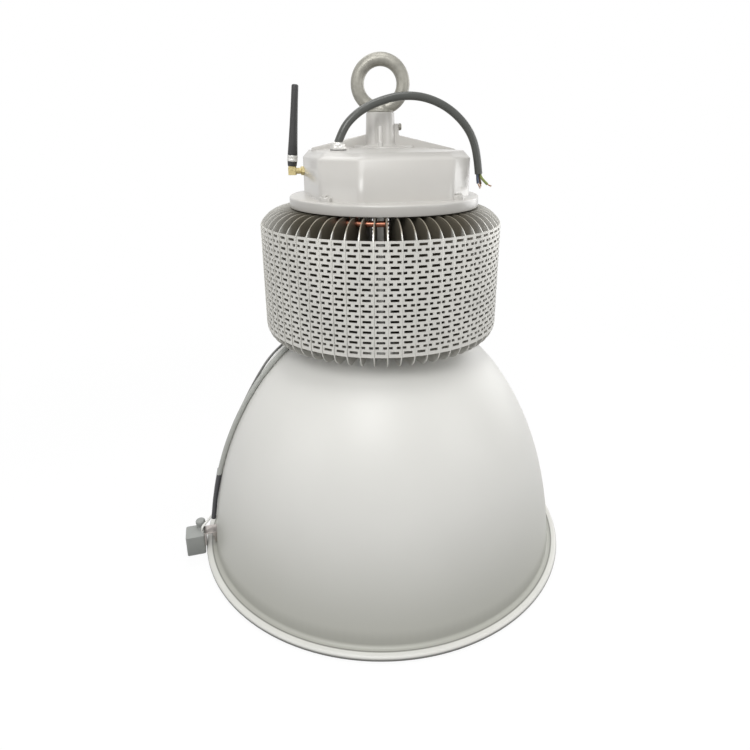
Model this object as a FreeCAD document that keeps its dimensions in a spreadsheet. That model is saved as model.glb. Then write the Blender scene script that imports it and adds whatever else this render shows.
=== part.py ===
import FreeCAD, Part
import math
import os
import re

import Sketcher
from FreeCAD import Placement, Rotation, Vector

# High bay light hung from an eye bolt: cast driver housing, ring of folded
# perforated fins around copper heat pipes, LED unit and a deep spun reflector.
# Millimetres. +Z is up, the rim of the reflector rests on z = 0 and the fins
# stand round the Z axis. Azimuths are in degrees from the front (-Y) towards +X.

DIMENSIONS = [
    # reflector: three tangent arcs from the neck down to the flared, rolled rim
    ("rim_radius", 210), ("bead_radius", 3), ("wall", 1.5), ("mouth_fillet", 3),
    ("neck_r", 83.98), ("neck_z", 247), ("neck_angle", 55.75), ("neck_bore", 66),
    ("crown_arc", 224), ("crown_r", 146.6), ("crown_z", 180), ("crown_angle", 32.13),
    ("waist_arc", 329), ("waist_r", 183.75), ("waist_z", 95), ("waist_angle", 15.91),
    ("skirt_arc", 404), ("mouth_r", 198.3), ("mouth_z", 9),
    # heat sink
    ("fin_count", 62), ("fin_sheet", 0.8), ("fin_bore", 68), ("sink_radius", 123.2),
    ("fin_top", 383), ("fin_bottom", 248), ("band_top", 368), ("band_bottom", 262),
    ("fin_crest_r", 98), ("top_corner", 28.7), ("fin_toe_r", 107), ("bottom_corner", 16.4),
    ("notch_low_r", 79), ("notch_high_r", 91.4), ("notch_z", 373.8),
    ("slot_length", 7.6), ("slot_height", 2.4), ("slot_rows", 5), ("slot_pitch", 19.64),
    ("slot_top_z", 354.7), ("fold_gap", 0.25),
    ("spreader_radius", 80.5), ("spreader_low", 247), ("spreader_top", 253),
    ("pipe_radius", 2.8), ("pipe_riser_r", 45), ("pipe_z", 377), ("pipe_arc_r", 88),
    ("pipe_bend", 12), ("pipe_sweep", 33.5), ("post_radius", 3), ("post_circle", 56),
    ("post_turn", -13.5), ("wire_tube_radius", 8), ("wire_hole_radius", 5),
    # driver housing: chamfered square turned about its own axis
    ("housing_shift", 3.5), ("body_radius", 88), ("body_turn", 16.5), ("body_half", 30.5),
    ("body_wall", 3), ("eave_z", 431), ("shoulder_radius", 81), ("shoulder_z", 438),
    ("flange_radius", 96.5), ("flange_top", 394.5), ("flange_low", 384), ("flange_edge", 2.5),
    ("floor_z", 389), ("floor_opening", 72), ("ceiling_z", 434.5),
    ("hub_radius", 30), ("hub_z", 441.8), ("stem_foot_r", 14.9), ("stem_top_r", 13.9),
    ("stem_top", 473.5), ("rib_z", 453.2), ("rib_width", 6), ("front_rib_z", 461),
    ("front_rib_foot", 24), ("left_rib_foot", 69.3), ("left_rib_end", 440.4),
    ("right_rib_foot", 75.5), ("right_rib_end", 438.9),
    ("pad_circle", 89.5), ("pad_radius", 6), ("pad_z", 399), ("pad_turn", -38),
    ("base_radius", 91.5), ("gasket_top", 389), ("base_top", 387.5), ("base_low", 384.5),
    # hanging hardware
    ("ring_radius", 22.3), ("ring_rod", 6.45), ("ring_z", 499.6), ("collar_radius", 12.8),
    ("shank_radius", 6), ("shank_low", 423.5), ("lock_radius", 2), ("lock_z", 460),
    ("lock_face", 18.4), ("nut_across", 18),
    # supply cable
    ("gland_x", -39), ("gland_y", -48), ("gland_seat", 439.2), ("gland_top", 446.6),
    ("gland_radius", 6.6), ("gland_hex_depth", 3.8), ("gland_seat_radius", 9), ("gland_bore", 4.75),
    ("gland_edge", 2), ("cable_radius", 3.8), ("core_radius", 1.3), ("strand_radius", 0.7),
    # antenna
    ("antenna_x", -91.4), ("antenna_y", 11.1), ("antenna_z", 421.8), ("antenna_lean", -5),
    ("antenna_length", 79), ("antenna_foot", 5), ("antenna_tip", 3.4), ("elbow_z", 417),
    ("elbow_radius", 3.1), ("stub_azimuth", -73.5),
    # LED unit
    ("board_radius", 52), ("board_sheet", 2), ("lens_radius", 55.4), ("lens_sheet", 3.5),
    ("holder_radius", 64), ("holder_low", 235), ("holder_bore", 56), ("holder_lip", 52.5),
    # sensor and its lead
    ("sensor_azimuth", -74), ("sensor_near", 210.9), ("sensor_long", 20), ("sensor_wide", 22),
    ("sensor_low", 0.5), ("sensor_high", 24.5), ("knob_radial", 3.6), ("knob_along", -8.2),
    ("knob_radius", 5.3), ("knob_height", 8.5), ("knob_edge", 2.5), ("stud_radius", 1.5),
    ("conduit_radius", 2.75), ("conduit_gap", 3.4), ("lead_radius", 1.3), ("sleeve_radius", 2.4),
    ("wire_radius", 0.9),
]
SIZES = dict(DIMENSIONS)

doc = FreeCAD.newDocument("HighBayLight")


def make_sheet():
    sheet = doc.addObject("Spreadsheet::Sheet", "Dimensions")
    for row, (alias, number) in enumerate(DIMENSIONS, start=1):
        sheet.set(f"A{row}", alias)
        sheet.set(f"B{row}", str(number))
        sheet.setAlias(f"B{row}", alias)
    doc.recompute()
    return sheet


SHEET = make_sheet()
PARTS = []


def bound(formula):
    """Point each size name in a formula at its cell in the sheet."""
    def cell(match):
        name = match.group(0)
        return f"Dimensions.{name}" if name in SIZES else name
    return re.sub(r"[a-z][a-z_]*", cell, str(formula))


def value(formula):
    return float(SHEET.evalExpression(bound(formula)))


def bind(thing, **formulas):
    for name, formula in formulas.items():
        thing.setExpression(name, bound(formula))
    return thing


def place(thing, x=0, y=0, z=0, rotation=None):
    """Give a primitive its place, each coordinate bound to the sheet."""
    turn = rotation or Rotation()
    thing.Placement = Placement(Vector(value(x), value(y), value(z)), turn)
    for axis, formula in zip("xyz", (x, y, z)):
        if formula != 0:
            thing.setExpression(f"Placement.Base.{axis}", bound(formula))
    return thing


def cylinder(name, radius, height, **where):
    solid = bind(doc.addObject("Part::Cylinder", name), Radius=radius, Height=height)
    return place(solid, **where)


def cone(name, low, high, height, **where):
    solid = doc.addObject("Part::Cone", name)
    return place(bind(solid, Radius1=low, Radius2=high, Height=height), **where)


def torus(name, major, minor, **where):
    solid = bind(doc.addObject("Part::Torus", name), Radius1=major, Radius2=minor)
    return place(solid, **where)


def block(name, length, width, height, **where):
    solid = doc.addObject("Part::Box", name)
    return place(bind(solid, Length=length, Width=width, Height=height), **where)


def hexagon(name, across, height, **where):
    """Six-sided prism given its size across the flats."""
    solid = doc.addObject("Part::Prism", name)
    solid.Polygon = 6
    bind(solid, Circumradius=f"({across}) / sqrt(3)", Height=height)
    return place(solid, **where)


def cut(name, base, tool):
    result = doc.addObject("Part::Cut", name)
    result.Base = base
    result.Tool = tool
    return result


def fuse(name, solids):
    result = doc.addObject("Part::MultiFuse", name)
    result.Shapes = solids
    return result


def group(name, solids):
    """Several like solids that stay separate."""
    result = doc.addObject("Part::Compound", name)
    result.Links = solids
    return result


def part(thing, label):
    """Record a finished sub-part under the name of its file."""
    thing.Label = label
    PARTS.append(thing)
    return thing


def body_named(name):
    return doc.addObject("PartDesign::Body", name)


def sketch_on(body, name, plane, corners, x=0, y=0, z=0):
    """Closed sketch on one of the body's own planes, moved by x, y, z in that plane's axes.

    A corner is (x, y), or (x, y, radius, turn) where the edge that arrives at it is an
    arc; turn is +1 for an arc that runs anticlockwise and -1 for a clockwise one.
    """
    sketch = body.newObject("Sketcher::SketchObject", name)
    origin_plane = [f for f in body.Origin.OriginFeatures if f.Role == plane][0]
    sketch.AttachmentSupport = [(origin_plane, "")]
    sketch.MapMode = "FlatFace"
    for axis, formula in zip("xyz", (x, y, z)):
        sketch.setExpression(f"AttachmentOffset.Base.{axis}", bound(formula))
    points = [Vector(value(c[0]), value(c[1]), 0) for c in corners]
    for index, corner in enumerate(corners):
        start, end = points[index - 1], points[index]
        sketch.addGeometry(edge_between(start, end, corner[2:]), False)
    starts = []
    for index, corner in enumerate(corners):
        anticlockwise = len(corner) == 2 or corner[3] > 0
        starts.append((1, 2) if anticlockwise else (2, 1))
    for index, corner in enumerate(corners):
        following = (index + 1) % len(corners)
        end_of, start_of = starts[index][1], starts[following][0]
        sketch.addConstraint(Sketcher.Constraint("Coincident", index, end_of, following, start_of))
        for kind, formula, number in (("DistanceX", corner[0], points[index].x),
                                      ("DistanceY", corner[1], points[index].y)):
            constraint = Sketcher.Constraint(kind, -1, 1, index, end_of, number)
            at = sketch.addConstraint(constraint)
            sketch.setExpression(f"Constraints[{at}]", bound(formula))
        if len(corner) > 2:
            at = sketch.addConstraint(Sketcher.Constraint("Radius", index, value(corner[2])))
            sketch.setExpression(f"Constraints[{at}]", bound(corner[2]))
    return sketch


def edge_between(start, end, bend):
    if not bend:
        return Part.LineSegment(start, end)
    radius, turn = value(bend[0]), bend[1]
    chord = end - start
    middle = start + chord * 0.5
    side = Vector(-chord.y, chord.x, 0).normalize() * turn
    centre = middle + side * math.sqrt(radius ** 2 - (chord.Length / 2) ** 2)
    first, last = (start, end) if turn > 0 else (end, start)
    angles = [math.atan2(p.y - centre.y, p.x - centre.x) for p in (first, last)]
    circle = Part.Circle(centre, Vector(0, 0, 1), radius)
    return Part.ArcOfCircle(circle, angles[0], angles[1])


def revolve(body, sketch, name="Revolution"):
    feature = body.newObject("PartDesign::Revolution", name)
    feature.Profile = sketch
    feature.ReferenceAxis = (sketch, ["V_Axis"])
    feature.Angle = 360
    sketch.Visibility = False
    return feature


def pad(body, sketch, length, name="Pad", both_sides=False, backwards=False):
    feature = body.newObject("PartDesign::Pad", name)
    feature.Profile = sketch
    feature.SideType = "Symmetric" if both_sides else "One side"
    feature.Reversed = backwards
    return bind(feature, Length=length)


def loft(body, lower, upper, kind="AdditiveLoft", name="Loft"):
    feature = body.newObject(f"PartDesign::{kind}", name)
    feature.Profile = lower
    feature.Sections = [upper]
    feature.Ruled = True
    return feature


def polar(azimuth, radius, z=0):
    """Point at an azimuth measured from the front."""
    angle = math.radians(azimuth)
    return Vector(radius * math.sin(angle), -radius * math.cos(angle), z)


def polar_xy(azimuth, radius, shift="0"):
    """The same as a pair of formulas."""
    return f"{shift} + ({radius}) * sin({azimuth})", f"0 - ({radius}) * cos({azimuth})"


# ---------------------------------------------------------------- routes

def rounded_route(points):
    """Straight runs joined by tangent arcs; each arc is as large as its runs allow."""
    edges, radii, here = [], [], points[0]
    for index in range(1, len(points) - 1):
        corner = points[index]
        arriving, leaving = corner - points[index - 1], points[index + 1] - corner
        half_turn = arriving.getAngle(leaving) / 2
        radius = 0.45 * min(arriving.Length, leaving.Length) / math.tan(half_turn)
        back = radius * math.tan(half_turn)
        before = corner - Vector(arriving).normalize() * back
        after = corner + Vector(leaving).normalize() * back
        to_centre = (Vector(leaving).normalize() - Vector(arriving).normalize()).normalize()
        middle = corner + to_centre * (radius / math.cos(half_turn) - radius)
        edges.append(Part.LineSegment(here, before).toShape())
        edges.append(Part.Arc(before, middle, after).toShape())
        radii.append(round(radius, 1))
        here = after
    edges.append(Part.LineSegment(here, points[-1]).toShape())
    return Part.Wire(edges), radii


def tube(name, path, radius):
    """Round tube swept along a wire of lines and arcs, its radius bound to the sheet."""
    spine = doc.addObject("Part::Feature", f"{name}Route")
    spine.Shape = path
    first = path.Edges[0]
    start = path.OrderedVertexes[0].Point
    heading = first.tangentAt(first.FirstParameter)
    if (first.valueAt(first.FirstParameter) - start).Length > 1e-6:
        heading = heading * -1
    section = bind(doc.addObject("Part::Circle", f"{name}Section"), Radius=radius)
    section.Placement = Placement(start, Rotation(Vector(0, 0, 1), heading))
    sweep = doc.addObject("Part::Sweep", name)
    sweep.Sections = [section]
    sweep.Spine = (spine, [f"Edge{i + 1}" for i in range(len(path.Edges))])
    sweep.Solid = True
    sweep.Frenet = False
    return sweep


# ---------------------------------------------------------------- reflector

def offset_vertex(radius, z, angle, distance):
    """Formulas for a point set off the reflector's outer face along its normal."""
    return f"{radius} + ({distance}) * cos({angle})", f"{z} + ({distance}) * sin({angle})"


def make_reflector():
    body = body_named("ReflectorBody")
    underside = "neck_z - wall * sin(neck_angle)"
    flare_z = "2 * bead_radius"
    corners = [
        ("neck_bore", underside),
        ("neck_bore", "neck_z"),
        ("neck_r", "neck_z"),
        ("crown_r", "crown_z", "crown_arc", -1),
        ("waist_r", "waist_z", "waist_arc", -1),
        ("mouth_r", "mouth_z", "skirt_arc", -1),
        ("mouth_r + mouth_fillet", flare_z, "mouth_fillet", 1),
        ("rim_radius - bead_radius", flare_z),
        ("rim_radius", "bead_radius", "bead_radius", -1),
        ("rim_radius - bead_radius", 0, "bead_radius", -1),
        ("rim_radius - 2 * bead_radius", "bead_radius", "bead_radius", -1),
        ("rim_radius - 2 * bead_radius", f"{flare_z} - wall"),
        ("mouth_r + mouth_fillet", f"{flare_z} - wall"),
        ("mouth_r - wall", "mouth_z", "mouth_fillet + wall", -1),
        (*offset_vertex("waist_r", "waist_z", "waist_angle", "0 - wall"), "skirt_arc - wall", 1),
        (*offset_vertex("crown_r", "crown_z", "crown_angle", "0 - wall"), "waist_arc - wall", 1),
        (*offset_vertex("neck_r", "neck_z", "neck_angle", "0 - wall"), "crown_arc - wall", 1),
    ]
    revolve(body, sketch_on(body, "ReflectorProfile", "XZ_Plane", corners), "Spinning")
    screw_holes = [cylinder(f"ReflectorScrewHole{i}", 1.6, 6, **circle_place(75, 6, i, "neck_z - 4"))
                   for i in range(6)]
    bolt = bracket_bolt("ReflectorBracketHole", 2, "mouth_r - 6", 10)
    holes = fuse("ReflectorHoles", screw_holes + [bolt])
    return part(cut("Reflector", body, holes), "reflector")


def circle_place(radius, count, index, z, first=0, shift="0"):
    """Coordinates of one of several like pieces set evenly round an axis."""
    x, y = polar_xy(f"{first} + {360 / count} * {index}", radius, shift)
    return {"x": x, "y": y, "z": z}


# ---------------------------------------------------------------- heat sink

PITCH = 360 / SIZES["fin_count"]
PIPE_COLUMNS = (-5, 16, 36)
FINS_PER_PIPE = 6


def make_fin(name, notched):
    """The radial web of one folded sheet; some are notched where a heat pipe crosses them."""
    body = body_named(name)
    notch = [("notch_low_r", "fin_top"), ("notch_low_r", "notch_z"),
             ("notch_high_r", "notch_z"), ("notch_high_r", "fin_top")]
    web = [("fin_bore", "fin_top")] + (notch if notched else []) + [("fin_crest_r", "fin_top")]
    web += [("sink_radius", "band_top", "top_corner", -1), ("sink_radius", "band_bottom"),
                 ("fin_toe_r", "fin_bottom", "bottom_corner", -1),
                 ("spreader_radius + 0.5", "fin_bottom"), ("spreader_radius + 0.5", "spreader_top"),
                 ("fin_bore", "spreader_top")]
    pad(body, sketch_on(body, f"{name}Web", "XZ_Plane", web), "fin_sheet", "Web", both_sides=True)
    return body


def fin_shape(body):
    """Web and slotted flange as one solid, taken at azimuth 90 before it is turned into place.

    The flange reaches back from its web to just short of the web before it.
    """
    radius, sheet = SIZES["sink_radius"], SIZES["fin_sheet"]
    half_pitch = math.radians(PITCH / 2)
    width = 2 * radius * math.sin(half_pitch)
    face = radius * math.cos(half_pitch)
    height = SIZES["band_top"] - SIZES["band_bottom"]
    far = width / 2 - sheet / 2 - SIZES["fold_gap"]
    flange = Part.makeBox(sheet, width / 2 + far, height,
                          Vector(face - sheet, -far, SIZES["band_bottom"]))
    slots = []
    for row in range(SIZES["slot_rows"]):
        z = SIZES["slot_top_z"] - row * SIZES["slot_pitch"]
        corner = Vector(face - 2 * sheet, -SIZES["slot_length"] / 2, z - SIZES["slot_height"] / 2)
        slots.append(Part.makeBox(3 * sheet, SIZES["slot_length"], SIZES["slot_height"], corner))
    flange = flange.cut(Part.makeCompound(slots))
    flange.rotate(Vector(), Vector(0, 0, 1), -PITCH / 2)
    return body.Shape.fuse(flange).removeSplitter()


def make_fins():
    """The folded fins stand side by side, each flange closing one column of the band."""
    plain = make_fin("PlainFin", notched=False)
    notched = make_fin("NotchedFin", notched=True)
    doc.recompute()
    shapes = {False: fin_shape(plain), True: fin_shape(notched)}
    cut_fins = {column + k for column in PIPE_COLUMNS for k in range(FINS_PER_PIPE)}
    count = SIZES["fin_count"]
    cut_fins = {k % count for k in cut_fins}
    quarters = ("fins_front", "fins_right", "fins_back", "fins_left")
    first = -count // 8
    for quarter, label in enumerate(quarters):
        low = first + round(quarter * count / 4)
        high = first + round((quarter + 1) * count / 4)
        solids = []
        for k in range(low, high):
            azimuth = (k + 0.5) * PITCH
            solids.append(shapes[k % count in cut_fins].copy())
            solids[-1].rotate(Vector(), Vector(0, 0, 1), azimuth - 90)
        feature = doc.addObject("Part::Feature", label.title().replace("_", ""))
        feature.Shape = Part.makeCompound(solids)
        part(feature, label)


def make_heat_pipes():
    """Each pipe rises from the spreader, runs out between two fins and bends round in their notches."""
    turn_r = SIZES["pipe_bend"]
    arc_r = SIZES["pipe_arc_r"]
    low, high = SIZES["spreader_low"] + 3, SIZES["pipe_z"]
    run_end = math.sqrt((arc_r - turn_r) ** 2 - turn_r ** 2)
    lead_in = math.degrees(math.atan2(turn_r, run_end))
    pipes, seats = [], []
    for number, column in enumerate(PIPE_COLUMNS):
        start = column * PITCH
        riser, bend = SIZES["pipe_riser_r"], 10
        foot, knee = polar(start, riser, low), polar(start, riser, high - bend)
        elbow_mid = polar(start, riser + bend * (1 - math.cos(math.pi / 4)),
                          high - bend * (1 - math.sin(math.pi / 4)))
        shoulder, run = polar(start, riser + bend, high), polar(start, run_end, high)
        centre = polar(start, run_end, high) + (polar(start + 90, turn_r))
        middle = centre + polar(start - 45 + lead_in / 2, turn_r)
        joined = polar(start + lead_in, arc_r, high)
        tip = polar(start + SIZES["pipe_sweep"], arc_r, high)
        halfway = polar(start + (lead_in + SIZES["pipe_sweep"]) / 2, arc_r, high)
        path = Part.Wire([Part.LineSegment(foot, knee).toShape(),
                          Part.Arc(knee, elbow_mid, shoulder).toShape(),
                          Part.LineSegment(shoulder, run).toShape(),
                          Part.Arc(run, middle, joined).toShape(),
                          Part.Arc(joined, halfway, tip).toShape()])
        pipes.append(tube(f"HeatPipe{number}", path, "pipe_radius"))
        x, y = polar_xy(start, "pipe_riser_r")
        seats.append(cylinder(f"PipeSeat{number}", "pipe_radius", 6, x=x, y=y, z="spreader_low + 3"))
    part(group("HeatPipes", pipes), "heat_pipes")
    return seats


def make_spreader(pipe_seats):
    """Thick plate that the fins and pipes stand on and the LED unit hangs under."""
    disc = cylinder("SpreaderDisc", "spreader_radius", "spreader_top - spreader_low", z="spreader_low")
    wire_hole = cylinder("WireHole", "wire_hole_radius", 10, z="spreader_low - 2")
    screws = [cylinder(f"HolderTap{i}", 1.5, 5, **circle_place(60, 6, i, "spreader_low - 1", 30))
              for i in range(6)]
    screws += [cylinder(f"ReflectorTap{i}", 1.6, 5, **circle_place(75, 6, i, "spreader_low - 1"))
               for i in range(6)]
    holes = fuse("SpreaderHoles", [wire_hole] + screws + pipe_seats)
    part(cut("Spreader", disc, holes), "heat_spreader")


def make_posts():
    """Four posts that carry the housing, and the tube in which the LED unit's wires run."""
    high = "base_low - spreader_top"
    posts = [cylinder(f"Post{i}", "post_radius", high,
                      **circle_place("post_circle", 4, i, "spreader_top", "post_turn"))
             for i in range(4)]
    outside = cylinder("WireTubeOutside", "wire_tube_radius", high, z="spreader_top")
    inside = cylinder("WireTubeInside", "wire_hole_radius", f"{high} + 2", z="spreader_top - 1")
    part(group("Posts", posts + [cut("WireTube", outside, inside)]), "support_posts")


# ---------------------------------------------------------------- driver housing

def chamfered_square(radius):
    """Corner formulas of the housing's outline about its own axis."""
    corners = []
    for side in range(4):
        for edge in ("0 - body_half", "body_half"):
            azimuth = f"body_turn + {edge} + {90 * side}"
            corners.append(polar_xy(azimuth, radius, "housing_shift"))
    return corners


def make_housing():
    """Cast in one: flange and skirt, eight-sided wall, shallow roof, hub, stem and ribs."""
    body = body_named("HousingBody")
    low = sketch_on(body, "WallFoot", "XY_Plane", chamfered_square("body_radius"), z="floor_z")
    pad(body, low, "eave_z - floor_z", "Wall")
    eave = sketch_on(body, "Eave", "XY_Plane", chamfered_square("body_radius"), z="eave_z")
    shoulder = sketch_on(body, "Shoulder", "XY_Plane", chamfered_square("shoulder_radius"), z="shoulder_z")
    loft(body, eave, shoulder, name="Chamfer")
    roof_low = sketch_on(body, "RoofFoot", "XY_Plane", chamfered_square("shoulder_radius"), z="shoulder_z")
    roof_top = sketch_on(body, "RoofTop", "XY_Plane", chamfered_square("hub_radius"), z="hub_z - 1.3")
    loft(body, roof_low, roof_top, name="Roof")
    flange = [("floor_opening", "floor_z"), ("base_radius + 1", "floor_z"),
              ("base_radius + 1", "flange_low"), ("flange_radius", "flange_low"),
              ("flange_radius", "flange_top - flange_edge"),
              ("flange_radius - flange_edge", "flange_top", "flange_edge", 1),
              ("floor_opening", "flange_top")]
    revolve(body, sketch_on(body, "FlangeProfile", "XZ_Plane", flange, x="housing_shift"), "Flange")
    hub = [(0, "shoulder_z - 6"), ("hub_radius", "shoulder_z - 6"), ("hub_radius", "hub_z"),
           (0, "hub_z")]
    revolve(body, sketch_on(body, "HubProfile", "XZ_Plane", hub, x="housing_shift"), "Hub")
    stem = [(0, "hub_z - 2"), ("stem_foot_r", "hub_z - 2"), ("stem_top_r", "stem_top"),
            (0, "stem_top")]
    revolve(body, sketch_on(body, "StemProfile", "XZ_Plane", stem), "Stem")
    for name, sign, foot, end, top in (
            ("RightRib", 1, "right_rib_foot", "right_rib_end", "lock_z + 3"),
            ("LeftRib", -1, "left_rib_foot", "left_rib_end", "rib_z")):
        rib = [(0, "shoulder_z - 3"), (f"{sign} * {foot}", "shoulder_z - 3"),
               (f"{sign} * {foot}", end), (f"{sign} * lock_face", "rib_z - 1")]
        rib += [(f"{sign} * lock_face", top), (0, top)] if sign > 0 else [(0, top)]
        pad(body, sketch_on(body, f"{name}Outline", "XZ_Plane", rib), "rib_width", name, both_sides=True)
    front_rib = [(0, "hub_z - 2"), ("front_rib_foot", "hub_z - 2"), ("front_rib_foot", "hub_z"),
                 ("stem_foot_r + 2", "hub_z + 4"), ("stem_top_r + 1.6", "front_rib_z"), (0, "front_rib_z")]
    mirrored = [(f"0 - ({x})", y) for x, y in front_rib]
    for name, outline in (("BackRib", front_rib), ("FrontRib", mirrored)):
        sketch = sketch_on(body, f"{name}Outline", "YZ_Plane", outline)
        pad(body, sketch, "rib_width - 1.5", name, both_sides=True)
    housing = fuse("HousingCasting", [body] + housing_lugs())
    hollow = housing_hollow()
    part(cut("Housing", housing, hollow), "driver_housing")


def housing_lugs():
    """Round pads under the flange screws and the flat seat of the cable gland."""
    lugs = [cylinder(f"Pad{i}", "pad_radius", "pad_z - floor_z",
                     **circle_place("pad_circle - 2", 4, i, "floor_z", "pad_turn", "housing_shift"))
            for i in range(4)]
    lugs.append(cylinder("GlandSeat", "gland_seat_radius", "gland_seat - shoulder_z + 5",
                         x="gland_x", y="gland_y", z="shoulder_z - 5"))
    return lugs


def housing_hollow():
    """Everything that is cored or drilled out of the casting."""
    cavity = body_named("CavityBody")
    inner = "body_radius - body_wall"
    floor = sketch_on(cavity, "CavityFoot", "XY_Plane", chamfered_square(inner), z="flange_top")
    pad(cavity, floor, "eave_z - 2 - flange_top", "CavityWall")
    low = sketch_on(cavity, "CavityEave", "XY_Plane", chamfered_square(inner), z="eave_z - 2")
    high = sketch_on(cavity, "CavityTop", "XY_Plane", chamfered_square("shoulder_radius - 5"),
                     z="ceiling_z")
    loft(cavity, low, high, name="CavityChamfer")
    x, y = "housing_shift", 0
    tools = [cavity,
             cylinder("FloorOpening", "floor_opening", 20, x=x, y=y, z="floor_z - 5"),
             cylinder("ShankBore", "shank_radius", 60, z="stem_top - 50"),
             cylinder("LockBore", "lock_radius", 30, z="lock_z",
                      rotation=Rotation(Vector(0, 1, 0), 90)),
             cylinder("GlandBore", "gland_bore", 20, x="gland_x", y="gland_y", z="gland_seat - 15")]
    tools += [cylinder(f"FlangeTap{i}", 1.5, "pad_z - flange_low",
                       **circle_place("pad_circle", 4, i, "floor_z - 1", "pad_turn", "housing_shift"))
              for i in range(4)]
    tools.append(antenna_stub_bore())
    return fuse("HousingHollow", tools)


def make_housing_base():
    """Plate that closes the housing, its gasket and the four screws through the flange."""
    axis = {"x": "housing_shift", "y": 0}
    plate = cylinder("BaseDisc", "base_radius", "base_top - base_low", z="base_low", **axis)
    conduit = cylinder("ConduitHole", "conduit_radius", 9, **conduit_entry("base_low - 3"))
    lead = cylinder("LeadHole", "lead_radius", 9, **lead_entry("base_low - 3"))
    holes = [cylinder(f"BaseHole{i}", 1.5, 9, **circle_place("pad_circle", 4, i, "base_low - 3",
                                                             "pad_turn", "housing_shift"))
             for i in range(4)]
    wires = cylinder("BaseWireHole", "wire_hole_radius", 9, z="base_low - 3")
    part(cut("Base", plate, fuse("BaseHoles", [conduit, lead, wires] + holes)), "housing_base")
    seal = cylinder("SealDisc", "base_radius", "gasket_top - base_top", z="base_top", **axis)
    inside = cylinder("SealInside", "floor_opening + 4", 5, z="base_top - 2", **axis)
    seal_holes = [cylinder(f"SealHole{i}", 1.5, 9, **circle_place("pad_circle", 4, i, "base_low - 3",
                                                                  "pad_turn", "housing_shift"))
                  for i in range(4)]
    part(cut("Seal", seal, fuse("SealHoles", [inside] + seal_holes)), "housing_gasket")
    screws = []
    for i in range(4):
        spot = circle_place("pad_circle", 4, i, "base_low", "pad_turn", "housing_shift")
        shank = cylinder(f"FlangeShank{i}", 1.5, "pad_z - base_low", **spot)
        head = cylinder(f"FlangeHead{i}", 2.8, 1.8, **{**spot, "z": "pad_z"})
        screws.append(fuse(f"FlangeScrew{i}", [shank, head]))
    part(group("FlangeScrews", screws), "flange_screws")


def make_electronics():
    """Driver, radio board and terminals on the base plate inside the housing."""
    driver = block("DriverCase", 104, 56, 26, x="housing_shift - 52", y=-28, z="gasket_top")
    part(bind_fillet("Driver", driver, 3), "driver_module")
    spots = [("housing_shift - 26", 41), ("housing_shift + 26", 41),
             ("housing_shift - 26", 57), ("housing_shift + 26", 57)]
    legs = [cylinder(f"Leg{i}", 2.5, "gasket_top + 9 - base_top", x=x, y=y, z="base_top")
            for i, (x, y) in enumerate(spots)]
    part(group("BoardLegs", legs), "board_standoffs")
    board = block("Board", 62, 24, 1.6, x="housing_shift - 31", y=37, z="gasket_top + 9")
    radio = block("Radio", 18, 15, 3, x="housing_shift - 28", y=40, z="gasket_top + 10.6")
    part(fuse("ControlBoard", [board, radio]), "control_board")
    terminals = block("Terminals", 30, 13, 12, x="housing_shift - 6", y=-50, z="base_top")
    ways = [cylinder(f"Way{i}", 2, 8, x=f"housing_shift - 1 + {10 * i}", y=-43.5, z="base_top + 6")
            for i in range(3)]
    part(cut("TerminalBlock", terminals, fuse("Ways", ways)), "terminal_block")


def bind_fillet(name, solid, radius):
    """Round the upright edges of a block."""
    doc.recompute()
    upright = [i + 1 for i, edge in enumerate(solid.Shape.Edges)
               if abs(edge.tangentAt(edge.FirstParameter).z) > 0.99]
    result = doc.addObject("Part::Fillet", name)
    result.Base = solid
    result.Edges = [(i, radius, radius) for i in upright]
    return result


# ---------------------------------------------------------------- hanging hardware

def make_eye_bolt():
    """Forged ring on a flared collar, with a threaded shank down through the stem."""
    ring = torus("EyeRing", "ring_radius", "ring_rod", z="ring_z",
                 rotation=Rotation(Vector(1, 0, 0), 90))
    collar_top = "ring_z - ring_radius + ring_rod - 2 - stem_top"
    collar = cone("EyeCollar", "collar_radius", "ring_rod + 3", collar_top, z="stem_top")
    shank = cylinder("EyeShank", "shank_radius", "stem_top - shank_low", z="shank_low")
    clear = cylinder("UnderRing", 40, 20, z="stem_top - 20")
    trimmed = cut("EyeRingTrimmed", ring, clear)
    part(fuse("EyeBolt", [trimmed, collar, shank]), "eye_bolt")
    nut = hexagon("EyeNutBlank", "nut_across", 8, z="ceiling_z - 8")
    bore = cylinder("EyeNutBore", "shank_radius", 12, z="ceiling_z - 10")
    part(cut("EyeNut", nut, bore), "eye_bolt_nut")


def make_lock_screw():
    """Screw through the stem that stops the eye bolt turning."""
    sideways = Rotation(Vector(0, 1, 0), 90)
    shank = cylinder("LockShank", "lock_radius", "lock_face - shank_radius",
                     x="shank_radius", z="lock_z", rotation=sideways)
    tip = cylinder("LockTip", "shank_radius", 40, z="lock_z - 20")
    head = cylinder("LockHead", 3.4, 2.8, x="lock_face", z="lock_z", rotation=sideways)
    part(cut("LockScrew", fuse("LockBlank", [shank, head]), tip), "eye_lock_screw")


# ---------------------------------------------------------------- supply cable

CABLE_ROUTE = [
    (-39, -48, 446), (-34.6, -46.6, 457), (-27.4, -44, 466.5), (-16.9, -40, 475),
    (-2.3, -34.5, 482), (16.5, -29, 487.2), (37, -25, 487.5), (56.5, -22.5, 481.5),
    (73, -21, 471), (87, -20, 455.5), (94.6, -19.5, 436), (97.2, -19, 415.6),
]


def cable_heading():
    """Direction in which the cable leaves the gland."""
    return (Vector(*CABLE_ROUTE[1]) - Vector(*CABLE_ROUTE[0])).normalize()


def cable_start():
    """The cable's end, seated just inside the gland's nut."""
    return Vector(*CABLE_ROUTE[0]) - cable_heading() * 1.2


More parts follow.
